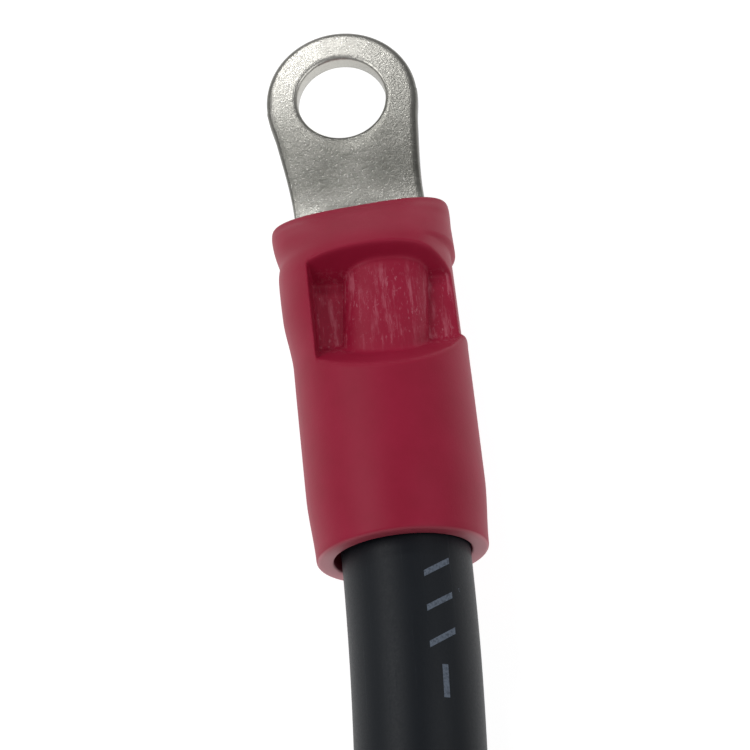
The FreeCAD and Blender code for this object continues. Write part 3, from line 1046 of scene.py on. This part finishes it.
    def _point(self, row: SleeveRow, angle: float) -> tuple[Vector, float]:
        """Place of one point in millimetres, and how far the die pushed it."""
        pushed = 0.0
        if row.zone is SleeveZone.OUTSIDE:
            u, w = self._free_outside(angle, row.back)
            u -= row.inset * math.cos(angle)
            w -= row.inset * math.sin(angle)
            u, w, pushed = self.die.press(u, w, row.back)
        else:
            u, w = self._inside(angle, row.back)
            u += row.inset * math.cos(angle)
            w += row.inset * math.sin(angle)
            if row.back > self.layout.barrel_set_back:
                u, w, _ = self.die.press(u, w, row.back, -self.die.squeezed_wall)
        tilt = self.rim_turn * u * (1 - smooth(row.back, 0.0, 4.0))
        place = Vector((
            self.layout.barrel_x + u,
            self.layout.rim_y - row.back + tilt,
            self.layout.barrel_z + w,
        ))
        return place, pushed

    def build(self) -> bpy.types.Mesh:
        """Make the sleeve's mesh at the near end.

        Returns:
            A mesh with the fields 'own', 'die_floor' and 'cut_face'.
        """
        rows = self._rows()
        pushes: dict[tuple, float] = {}

        def place(i: int, j: int) -> Vector:
            point, pushed = self._point(rows[j], self._direction(i))
            pushes[(round(point.x, 3), round(point.y, 3), round(point.z, 3))] = pushed
            return point

        bm = wrapped_shell(self.around, len(rows), place, closed_along=True)
        mesh = mesh_with_own_places(bm, "sleeve")
        pressed: list[float] = []
        cut: list[float] = []
        mouth = self.layout.mouth_y + 0.04
        for vert in mesh.vertices:
            key = tuple(round(number / MM, 3) for number in vert.co)
            back = self.layout.rim_y - vert.co.y / MM
            walls = smooth(back, 4.5, 5.3) * (1 - smooth(back, 9.0, 10.4))
            pressed.append(smooth(pushes.get(key, 0.0), 0.12, 0.7) * walls)
            # Painted shade: the pale cut-face colour fades towards the top of the mouth, where the sleeve
            # overhangs the cable.
            painted_top_shade = smooth(vert.co.z / MM - self.layout.barrel_z, 1.2, 3.6)
            cut.append((1.0 - smooth(vert.co.y / MM, mouth, mouth + 0.12)) * (1.0 - 0.8 * painted_top_shade))
        add_field(mesh, "die_floor", pressed)
        add_field(mesh, "cut_face", cut)
        return mesh


# ---- terminal --------------------------------------------------------------------------
@dataclass
class RingTerminal:
    """Stamped ring tongue that curls up into the crimped barrel."""

    layout: LeadLayout
    die: CrimpDie
    ring_radius: float = 4.53
    hole_radius: float = 2.65
    thickness: float = 1.15
    neck_half_width: float = 3.87
    shoulder: float = 0.62
    neck_length: float = 11.0
    lean_deg: float = 2.6
    curl_deg: float = 98.0
    least_bend: float = 0.004
    edge_round: float = 0.34
    hole_round: float = 0.2
    low_edge_round: float = 0.18
    low_hole_round: float = 0.1
    bore_radius: float = 2.3
    bore_squeeze: tuple[float, float] = (0.05, 0.33)
    around: int = 240
    barrel_around: int = 144

    def _edge_distance(self, angle: float) -> float:
        """Distance from the hole's middle to the outline, along a direction in the plane."""
        across, along = math.cos(angle), math.sin(angle)
        best = self.ring_radius
        if along < 0.0:
            reach = 0.0
            for step in range(1, 120):
                distance = step * 0.1
                x, y = abs(across * distance), along * distance
                if -y > self.neck_length:
                    break
                half = self._half_width(-y)
                if x > half:
                    break
                reach = distance
            low, high = reach, reach + 0.1
            for _ in range(12):
                middle = (low + high) / 2
                x, y = abs(across * middle), along * middle
                inside = -y <= self.neck_length and x <= self._half_width(-y)
                low, high = (middle, high) if inside else (low, middle)
            best = low
        return best

    def _half_width(self, back: float) -> float:
        """Half width of the tongue at a distance back from the hole's middle."""
        ring = math.sqrt(max(self.ring_radius**2 - back**2, 0.0))
        if back < 0:
            return ring
        neck = self.neck_half_width + self.shoulder * (1 - smooth(back, -1.0, 7.0))
        return soft_max(ring, neck, 0.25)

    def _curl(self, x: float, y: float, z: float) -> Vector:
        """Curl the neck up round the barrel axis inside the sleeve."""
        start = self.layout.rim_y + 0.4
        share = (start - y) / (start - self.layout.barrel_front)
        if share <= 0.0:
            return Vector((x, y, z))
        ease = smooth(share, 0.0, 1.0)
        mid_radius = self.layout.barrel_radius - self.thickness / 2
        end_bend = math.radians(self.curl_deg)
        half_length = self.neck_half_width + (mid_radius * end_bend - self.neck_half_width) * ease
        bend = self.least_bend + (end_bend - self.least_bend) * ease
        radius = half_length / bend
        middle_x = self.layout.barrel_x * ease + (1 - ease) * (-y * math.tan(math.radians(self.lean_deg)))
        offset = (x - middle_x) * half_length / self.neck_half_width
        turn = offset / radius
        bottom = (self.layout.barrel_z - self.layout.barrel_radius + self.thickness / 2) * ease
        up = radius - z
        return Vector((middle_x + up * math.sin(turn), y, bottom + radius - up * math.cos(turn)))

    def _tongue_profile(self) -> list[tuple[float, float, float, float]]:
        """Rows from the hole out over the top and back under the tongue.

        Returns:
            Rows of (share from hole to outline, distance in from the hole, distance in from
            the outline, height).
        """
        half, hole, edge = self.thickness / 2, self.hole_round, self.edge_round
        low_hole, low_edge = self.low_hole_round, self.low_edge_round
        rows = [(0.0, inset, 0.0, half - drop) for inset, drop in quarter_round(hole, (0, 30, 60, 90))]
        rows += [(share, hole, edge, half) for share in (0.12, 0.25, 0.38, 0.5, 0.62, 0.75, 0.88)]
        rows += [(1.0, 0.0, inset, half - drop) for inset, drop in quarter_round(edge, (90, 60, 30, 0))]
        rows += [(1.0, 0.0, inset, drop - half) for inset, drop in quarter_round(low_edge, (0, 30, 60, 90))]
        rows += [(share, low_hole, low_edge, -half) for share in (0.8, 0.6, 0.4, 0.2)]
        rows += [(0.0, inset, 0.0, drop - half) for inset, drop in quarter_round(low_hole, (90, 45, 0))]
        return rows

    def _tongue(self) -> bmesh.types.BMesh:
        """Ring, neck and the trough that the neck curls into."""
        rows = self._tongue_profile()
        reach = [self._edge_distance(2 * math.pi * index / self.around) for index in range(self.around)]
        lean = math.radians(self.lean_deg)

        def place(i: int, j: int) -> Vector:
            share, from_hole, from_edge, height = rows[j]
            angle = 2 * math.pi * i / self.around
            near = self.hole_radius + from_hole
            far = reach[i] - from_edge
            distance = near + (far - near) * share
            x, y = distance * math.cos(angle), distance * math.sin(angle)
            return self._curl(
                x * math.cos(lean) - y * math.sin(lean),
                x * math.sin(lean) + y * math.cos(lean),
                height,
            )

        return wrapped_shell(self.around, len(rows), place, closed_along=True)

    def _barrel(self) -> bmesh.types.BMesh:
        """Barrel pressed by the die, with its oval bore."""
        front = self.layout.barrel_set_back
        back = front + self.layout.barrel_length
        outer = [(station, True) for station in spaced(front, back, 0.12)] + [(back, True)]
        inner = [(station, False) for station in spaced(back, front, 0.4)] + [(front, False)]
        rows = outer + inner

        def place(i: int, j: int) -> Vector:
            station, outside = rows[j]
            angle = 2 * math.pi * i / self.barrel_around
            pressed = smooth(station, front + 1.0, front + 2.4)
            pressed *= 1 - smooth(station, back - 2.4, back - 1.0)
            if outside:
                radius = self.layout.barrel_radius
                u, w = radius * math.cos(angle), radius * math.sin(angle)
                u, w, _ = self.die.press(u, w, station, -self.die.squeezed_wall)
            else:
                aside, down = self.bore_squeeze
                u = (self.bore_radius - aside * pressed) * math.cos(angle)
                w = (self.bore_radius - down * pressed) * math.sin(angle)
            return Vector((self.layout.barrel_x + u, self.layout.rim_y - station, self.layout.barrel_z + w))

        return wrapped_shell(self.barrel_around, len(rows), place, closed_along=True)

    def build(self) -> bpy.types.Mesh:
        """Make the terminal's mesh at the near end.

        Returns:
            A mesh with the fields 'own', 'stamped_edge', 'near_sleeve' and 'polish'.
        """
        whole = self._tongue()
        join_skin(whole, self._barrel())
        mesh = mesh_with_own_places(whole, "ring_terminal")
        add_field(mesh, "stamped_edge", [self._edge_share(vert.co / MM) for vert in mesh.vertices])
        add_field(mesh, "near_sleeve", [self._painted_glint_share(vert.co / MM) for vert in mesh.vertices])
        add_field(mesh, "painted_highlight", [self._painted_highlight(vert.co / MM) for vert in mesh.vertices])
        return mesh

    @staticmethod
    def _painted_glint_share(place: Vector) -> float:
        """How thickly the painted glints lie along the scratches: most by the sleeve."""
        return 0.25 + 0.75 * smooth(-place.y, 3.6, 6.4)

    @staticmethod
    def _painted_highlight(place: Vector) -> float:
        """Painted highlight and shade on the tin: lighter round the back of the ring and by the sleeve,
        darkest on the neck, darker towards the right side.
        """
        ring = smooth(place.y, -4.4, 4.2)
        foot = smooth(-place.y, 5.4, 7.8)
        to_one_side = smooth(place.x, -4.0, 4.2)
        return (0.18 + 0.82 * ring + 0.5 * foot) * (1.0 - 0.42 * to_one_side)

    def _edge_share(self, place: Vector) -> float:
        """How near a point is to the stamped outline, from 0 on the flat to 1 on the edge."""
        lean = math.radians(-self.lean_deg)
        x = place.x * math.cos(lean) - place.y * math.sin(lean)
        y = place.x * math.sin(lean) + place.y * math.cos(lean)
        from_edge = self._edge_distance(math.atan2(y, x)) - math.hypot(x, y)
        return 1.0 - smooth(from_edge, 0.02, 0.5)


# ---- cable -----------------------------------------------------------------------------
@dataclass
class StoredCable:
    """Insulated cable from the near sleeve to the coil, round it, and into the far sleeve."""

    layout: LeadLayout
    coil_radius: float = 36.0
    coil_centre_back: float = 84.0
    cable_drift: float = 1.9
    layers: int = 2
    climb_start: float = 70.0
    climb_end: float = 180.0
    last_layer_radius: float = 35.0
    last_layer_shift: float = 1.4
    last_bend: float = 240.0
    step_deg: float = 20.0
    around: int = 64
    edge_round: float = 0.2
    print_side_deg: float = 119.0

    @property
    def diameter(self) -> float:
        """Outside diameter of the cable."""
        return 2 * self.layout.cable_radius

    @property
    def coil_centre(self) -> Vector:
        """Middle of the coil, on the floor."""
        x = self.layout.cable_x - self.cable_drift + self.coil_radius
        return Vector((x, -self.coil_centre_back, self.layout.floor_z))

    @property
    def far_forward(self) -> Vector:
        """Direction in which the cable enters the far sleeve."""
        heading = math.radians(self.last_bend + 90)
        return Vector((math.cos(heading), math.sin(heading), 0.0))

    @property
    def corner_share(self) -> float:
        """Radius of the route's corners over the radius of the turn inside them."""
        return 1.0 / math.cos(math.radians(self.step_deg / 2))

    def _last_layer(self, angle: float) -> Vector:
        """Corner of the top layer, which climbs from the layer below to the far mouth."""
        shift = math.radians(self.climb_start)
        radius = self.last_layer_radius * self.corner_share
        height = self.layers * self.diameter - self.layout.cable_radius
        height += self.diameter * smooth(angle, self.climb_start, self.climb_end)
        lift = self.layout.body_radius - self.layout.cable_radius
        height += lift * smooth(angle, self.climb_end - 20, self.last_bend + 10)
        turn = math.radians(angle)
        return self.coil_centre + Vector((
            self.last_layer_shift * math.cos(shift) + radius * math.cos(turn),
            self.last_layer_shift * math.sin(shift) + radius * math.sin(turn),
            height,
        ))

    @property
    def far_mouth(self) -> Vector:
        """Where the cable enters the far sleeve."""
        turn = math.radians(self.last_bend)
        shift = math.radians(self.climb_start)
        radius = self.last_layer_radius
        straight = radius * math.tan(math.radians(self.step_deg / 2))
        place = self.coil_centre + Vector((
            self.last_layer_shift * math.cos(shift) + radius * math.cos(turn),
            self.last_layer_shift * math.sin(shift) + radius * math.sin(turn),
            self.layers * self.diameter + self.layout.body_radius,
        ))
        return place + self.far_forward * straight

    def far_place(self) -> Matrix:
        """Matrix, in metres, that moves a near piece to the far end."""
        mouth = Vector((self.layout.cable_x, self.layout.mouth_y, self.layout.barrel_z))
        return (
            Matrix.Translation(self.far_mouth * MM)
            @ Matrix.Rotation(math.radians(self.last_bend), 4, "Z")
            @ Matrix.Translation(-mouth * MM)
        )

    def route(self) -> list[Vector]:
        """Points of the cable's route, from the cut insulation in one sleeve to the other."""
        x, z, mouth = self.layout.cable_x, self.layout.barrel_z, self.layout.mouth_y
        rest = self.layout.floor_z + self.layout.cable_radius
        centre = self.coil_centre
        side = centre.x - self.coil_radius
        lead_end = -self.coil_centre_back + 2 * math.sqrt(self.coil_radius * self.layout.cable_radius) + 0.5
        run = (mouth - lead_end) / 4
        points = [
            Vector((x, self.layout.insulation_start, z)),
            Vector((x, mouth + 3.5, z)),
            Vector((x, mouth - 1.2, z)),
            Vector((x - 0.1 * self.cable_drift, mouth - 0.95 * run, z)),
            Vector((x - 0.42 * self.cable_drift, mouth - 2 * run, z - 0.4 * (z - rest))),
            Vector((side, lead_end + 0.95 * run, rest)),
            Vector((side, lead_end, rest)),
            Vector((side, (lead_end - self.coil_centre_back) / 2, rest)),
        ]
        radius = self.coil_radius * self.corner_share
        angle = 180.0 + self.step_deg / 2
        last_start = 360.0 * self.layers + self.climb_start
        first_climb = 360.0 + self.climb_start
        while angle <= last_start + 1e-6:
            turn = math.radians(angle)
            out = Vector((radius * math.cos(turn), radius * math.sin(turn)))
            height = rest + self.diameter * smooth(angle, first_climb, 360.0 + self.climb_end)
            points.append(Vector((centre.x + out.x, centre.y + out.y, height)))
            angle += self.step_deg
        while angle < 360.0 * self.layers + self.last_bend:
            points.append(self._last_layer(angle - 360.0 * self.layers))
            angle += self.step_deg
        far, forward = self.far_mouth, self.far_forward
        points[-1].z = far.z
        inside = self.layout.insulation_start - mouth
        points += [far - forward * 1.2, far + forward * 3.5, far + forward * inside]
        return points

    def centreline(self) -> list[Vector]:
        """Follow the route's smooth curve.

        Returns:
            Points in metres, read from the NURBS spline.
        """
        curve = bpy.data.curves.new("cable_route", "CURVE")
        curve.dimensions = "3D"
        spline = curve.splines.new("NURBS")
        points = self.route()
        spline.points.add(len(points) - 1)
        for point, place in zip(spline.points, points):
            point.co = (*(place * MM), 1.0)
        spline.order_u = 3
        spline.use_endpoint_u = True
        spline.resolution_u = 10
        guide = bpy.data.objects.new("cable_route", curve)
        line = bpy.data.meshes.new_from_object(guide)
        places = [vert.co.copy() for vert in line.vertices]
        bpy.data.meshes.remove(line)
        bpy.data.objects.remove(guide)
        bpy.data.curves.remove(curve)
        return places

    def build(self) -> tuple[bpy.types.Mesh, list[Vector]]:
        """Make the cable's mesh.

        Returns:
            The mesh, with the fields 'straight' and 'printed', and its centreline in metres.
        """
        path = self.centreline()
        lengths = [0.0]
        for before, after in zip(path, path[1:]):
            lengths.append(lengths[-1] + (after - before).length)
        total = lengths[-1]
        rows: list[tuple[Vector, Vector, Vector, float, float]] = []
        up = Vector((0.0, 0.0, 1.0))
        lip = self.edge_round * MM
        for index, place in enumerate(path):
            ahead = path[min(index + 1, len(path) - 1)] - path[max(index - 1, 0)]
            ahead.normalize()
            side = ahead.cross(up).normalized()
            over = side.cross(ahead).normalized()
            radius = self.layout.cable_radius * MM
            if index == 0:
                rows += [(place, side, over, lengths[index], radius - lip)]
                rows += [(place + ahead * lip * 0.3, side, over, lip * 0.3, radius - 0.3 * lip)]
                rows += [(place + ahead * lip, side, over, lip, radius)]
            elif index == len(path) - 1:
                rows += [(place - ahead * lip, side, over, total - lip, radius)]
                rows += [(place - ahead * lip * 0.3, side, over, total - lip * 0.3, radius - 0.3 * lip)]
                rows += [(place, side, over, total, radius - lip)]
            else:
                rows.append((place, side, over, lengths[index], radius))
        straight: dict[tuple, Vector] = {}
        printed: dict[tuple, Vector] = {}
        print_side = math.radians(self.print_side_deg)

        def place_on_cable(i: int, j: int) -> Vector:
            middle, side, over, travelled, radius = rows[j]
            angle = 2 * math.pi * i / self.around
            point = middle + side * (radius * math.cos(angle)) + over * (radius * math.sin(angle))
            key = tuple(round(number * 1e6) for number in point)
            straight[key] = Vector((radius * math.cos(angle), travelled, radius * math.sin(angle)))
            round_share = (angle - print_side + math.pi) % (2 * math.pi) - math.pi
            printed[key] = Vector((round_share * radius, travelled, 0.0))
            return point / MM

        bm = wrapped_shell(self.around, len(rows) - 1, place_on_cable, closed_along=False)
        mesh = finished_mesh(bm, "cable")
        keys = [tuple(round(number * 1e6) for number in vert.co) for vert in mesh.vertices]
        nothing = Vector((0.0, 0.0, 0.0))
        add_field(mesh, "straight", [straight.get(key, nothing) for key in keys])
        add_field(mesh, "printed", [printed.get(key, nothing) for key in keys])
        LOG.info("cable: centreline %.1f mm", total / MM)
        return mesh, path


# ---- tie -------------------------------------------------------------------------------
@dataclass
class TwistTie:
    """Plastic tie with a wire core, round all the turns, its ends twisted together."""

    centre: Vector
    coil_radius: float
    cable_radius: float
    layers: int
    angle_deg: float = 15.0
    width: float = 4.0
    thickness: float = 0.5
    gap: float = 0.06
    tail_length: float = 4.4
    tail_turns: float = 1.5
    tail_squeeze: float = 0.42
    tail_apart: float = 0.24
    tail_spread: float = 0.45
    tail_offset: float = 1.0

    def _strip_section(self, count: int) -> list[tuple[float, float]]:
        """Flat strip with rounded edges and a low ridge over its wire."""
        points = []
        for index in range(count):
            angle = 2 * math.pi * index / count
            across = math.copysign(abs(math.cos(angle)) ** 0.5, math.cos(angle))
            over = math.copysign(abs(math.sin(angle)) ** 0.6, math.sin(angle))
            ridge = 0.25 * math.exp(-((across / 0.25) ** 2))
            points.append((across * self.width / 2, over * self.thickness / 2 * (0.62 + ridge * 1.5)))
        return points

    def _loop(self) -> bmesh.types.BMesh:
        """Strip round the stacked turns."""
        section = self._strip_section(28)
        radius = self.cable_radius + self.gap + self.thickness / 2
        low = self.cable_radius
        high = (2 * self.layers - 1) * self.cable_radius
        rows: list[tuple[float, float, float]] = []
        for step in range(25):
            angle = math.pi + math.pi * step / 24
            rows.append((radius * math.cos(angle), low + radius * math.sin(angle), angle))
        rows += [(radius, low + (high - low) * step / 6, 0.0) for step in range(1, 6)]
        for step in range(25):
            angle = math.pi * step / 24
            rows.append((radius * math.cos(angle), high + radius * math.sin(angle), angle))
        rows += [(-radius, high + (low - high) * step / 6, math.pi) for step in range(1, 6)]

        def place(i: int, j: int) -> Vector:
            across, over = section[i]
            u, z, angle = rows[j]
            z = max(z + over * math.sin(angle), self.thickness * 0.1)
            return self._turned(self.coil_radius + u + over * math.cos(angle), across, z)

        return wrapped_shell(len(section), len(rows), place, closed_along=True)

    def _turned(self, out: float, across: float, up: float) -> Vector:
        """Place on the coil: out from its middle, across the tie and up from the floor."""
        angle = math.radians(self.angle_deg)
        return self.centre + Vector((
            out * math.cos(angle) - across * math.sin(angle),
            out * math.sin(angle) + across * math.cos(angle),
            up,
        ))

    def _tail(self, start_turn: float) -> bmesh.types.BMesh:
        """One of the two twisted ends, standing on top of the coil."""
        section = self._strip_section(20)
        steps = 36
        top = self.layers * 2 * self.cable_radius + self.gap

        def place(i: int, j: int) -> Vector:
            across, over = section[i]
            share = j / steps
            turn = start_turn + 2 * math.pi * self.tail_turns * share
            across *= self.tail_squeeze
            over += self.tail_apart + self.tail_spread * smooth(share, 0.75, 1.0)
            u = across * math.cos(turn) - over * math.sin(turn)
            v = across * math.sin(turn) + over * math.cos(turn)
            return self._turned(self.coil_radius + self.tail_offset + u, v, top + share * self.tail_length)

        return wrapped_shell(len(section), steps, place, closed_along=False)

    def build(self) -> bpy.types.Mesh:
        """Make the tie's mesh.

        Returns:
            The loop and both tails as one mesh.
        """
        whole = self._loop()
        for start_turn in (0.0, math.pi):
            join_skin(whole, self._tail(start_turn))
        return finished_mesh(whole, "tie")


# ---- studio ----------------------------------------------------------------------------
@dataclass(frozen=True)
class Studio:
    """Camera, soft lights, white surroundings and a plain floor."""

    azimuth_deg: float = -6.3
    elevation_deg: float = 67.2
    roll_deg: float = -13.2
    distance: float = 136.2
    target: tuple[float, float, float] = (0.19, -18.32, 1.0)
    lens: float = 115.2
    floor_half_width: float = 1500.0

    def place_camera(self) -> None:
        """Add the camera and make it the scene's."""
        azimuth, elevation = math.radians(self.azimuth_deg), math.radians(self.elevation_deg)
        roll = math.radians(self.roll_deg)
        forward = Vector((
            math.sin(azimuth) * math.cos(elevation),
            math.cos(azimuth) * math.cos(elevation),
            -math.sin(elevation),
        ))
        right = Vector((math.cos(azimuth), -math.sin(azimuth), 0.0))
        up = right.cross(forward)
        across = right * math.cos(roll) + up * math.sin(roll)
        over = up * math.cos(roll) - right * math.sin(roll)
        data = bpy.data.cameras.new("camera")
        data.lens = self.lens
        data.sensor_width = 36.0
        data.clip_start = 0.005
        data.clip_end = 10.0
        camera = bpy.data.objects.new("camera", data)
        place = (Vector(self.target) - forward * self.distance) * MM
        turned = Matrix((across, over, -forward)).transposed().to_4x4()
        camera.matrix_world = Matrix.Translation(place) @ turned
        bpy.context.scene.collection.objects.link(camera)
        bpy.context.scene.camera = camera

    def add_light(self, name: str, place: tuple, aim: tuple, size: float, power: float) -> None:
        """Add one soft square light.

        Args:
            name: Name of the light.
            place: Where it hangs, in millimetres.
            aim: Point it faces, in millimetres.
            size: Side length in millimetres.
            power: Watts.
        """
        data = bpy.data.lights.new(name, "AREA")
        data.shape = "SQUARE"
        data.size = size * MM
        data.energy = power
        light = bpy.data.objects.new(name, data)
        direction = (Vector(aim) - Vector(place)).normalized()
        turned = direction.to_track_quat("-Z", "Y").to_matrix().to_4x4()
        light.matrix_world = Matrix.Translation(Vector(place) * MM) @ turned
        bpy.context.scene.collection.objects.link(light)

    def light_world(self) -> None:
        """White surroundings, dimmer overhead."""
        world = bpy.data.worlds.new("studio")
        world.use_nodes = True
        tree = world.node_tree
        tree.nodes.clear()
        place = tree.nodes.new("ShaderNodeTexCoord")
        split = tree.nodes.new("ShaderNodeSeparateXYZ")
        ramp = tree.nodes.new("ShaderNodeValToRGB")
        ramp.color_ramp.elements[0].position = 0.25
        ramp.color_ramp.elements[0].color = (0.66, 0.66, 0.66, 1.0)
        ramp.color_ramp.elements[1].position = 0.9
        ramp.color_ramp.elements[1].color = (0.3, 0.3, 0.31, 1.0)
        background = tree.nodes.new("ShaderNodeBackground")
        background.inputs["Strength"].default_value = 0.62
        output = tree.nodes.new("ShaderNodeOutputWorld")
        tree.links.new(place.outputs["Generated"], split.inputs[0])
        tree.links.new(split.outputs["Z"], ramp.inputs["Fac"])
        tree.links.new(ramp.outputs["Color"], background.inputs["Color"])
        tree.links.new(background.outputs[0], output.inputs["Surface"])
        bpy.context.scene.world = world

    def lay_floor(self, floor_z: float, material: bpy.types.Material) -> None:
        """Lay the plain floor under the lead.

        Args:
            floor_z: Height of the floor in millimetres.
            material: Its finish.
        """
        bm = bmesh.new()
        bmesh.ops.create_grid(bm, x_segments=2, y_segments=2, size=self.floor_half_width * MM)
        bmesh.ops.translate(bm, verts=bm.verts, vec=(0.0, 0.0, floor_z * MM))
        mesh = finished_mesh(bm, "studio_floor")
        mesh.materials.append(material)
        floor = bpy.data.objects.new("studio_floor", mesh)
        bpy.context.scene.collection.objects.link(floor)

    def build(self, floor_z: float, floor_finish: bpy.types.Material) -> None:
        """Put up the whole studio.

        Args:
            floor_z: Height of the floor in millimetres.
            floor_finish: Finish of the floor.
        """
        bpy.context.scene.view_settings.view_transform = "Standard"
        self.place_camera()
        self.light_world()
        self.lay_floor(floor_z, floor_finish)
        self.add_light("back_left", (-22, 104, 150), (0, 2, 0), 16, 0.034)
        self.add_light("overhead_left", (-170, 20, 240), (0, -15, 0), 150, 0.29)
        self.add_light("overhead_right", (170, -60, 220), (0, -15, 0), 160, 0.16)
        LOG.info("studio: camera, world, floor and three lights")


# ---- whole lead ------------------------------------------------------------------------
class RingTerminalLead:
    """The whole lead: two dressed terminals, one cable and its tie."""

    def __init__(self) -> None:
        """Build the shared effects and every finish."""
        self.groups = NodeGroups()
        self.tin = TinFinish().build(self.groups)
        self.vinyl = VinylFinish().build(self.groups)
        self.pvc = CableFinish().build(self.groups)
        copper = CopperFinish("bare_copper", linear(178, 104, 70), linear(222, 148, 108))
        self.copper = copper.build(self.groups)
        braze = CopperFinish("braze", linear(170, 156, 120), linear(205, 192, 156), (0.35, 0.5))
        self.braze = braze.build(self.groups)
        self.tie = TieFinish().build(self.groups)
        self.cable = StoredCable(LAYOUT)

    def dress_ends(self) -> None:
        """Make both terminals and sleeves from one pair of meshes."""
        die = CrimpDie()
        pieces = (
            ("terminal", RingTerminal(LAYOUT, die).build(), self.tin, "tinned_copper", "ring_terminal"),
            ("sleeve", VinylSleeve(LAYOUT, die).build(), self.vinyl, "red_vinyl", "insulating_sleeve"),
        )
        for name, mesh, finish, slot, node in pieces:
            for end in LeadEnd:
                own = mesh.copy()
                prefix = ""
                if end is LeadEnd.FAR:
                    own.transform(self.cable.far_place())
                    prefix = "far_"
                piece = to_piece(f"{prefix}{name}_skin", own, finish, slot)
                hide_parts(f"{prefix}{node}")
            bpy.data.meshes.remove(mesh)

    def dress_cable(self) -> None:
        mesh, path = self.cable.build()
        piece = to_piece("cable", mesh, self.pvc, "black_pvc")
        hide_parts("cable_lead", "cable_coil", "cable_insulation_end", "far_cable_insulation_end")

    def dress_tie(self) -> None:
        """Make the tie round the coil."""
        tie = TwistTie(self.cable.coil_centre, self.cable.coil_radius, LAYOUT.cable_radius, self.cable.layers)
        piece = to_piece("coil_tie", tie.build(), self.tie, "tie_plastic")
        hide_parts("coil_twist_tie")

    def dress_solids(self) -> None:
        """Give the strands and the braze their finishes."""
        for name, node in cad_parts.items():
            if "strand" in name:
                finish = self.copper
            elif "braze" in name:
                finish = self.braze
            else:
                continue
            node.data.materials.clear()
            node.data.materials.append(finish)
            LOG.info("%s: CAD piece, finish %s", name, finish.name)

    def build(self) -> None:
        """Make every piece."""
        self.dress_solids()
        self.dress_ends()
        self.dress_tie()
        self.dress_cable()


def main() -> None:
    """Build the lead and its studio."""
    logging.basicConfig(level=logging.INFO, format="%(name)s: %(message)s")
    lead = RingTerminalLead()
    lead.build()
    Studio().build(LAYOUT.floor_z, FloorFinish().build(lead.groups))


if __name__ == "__main__":
    main()
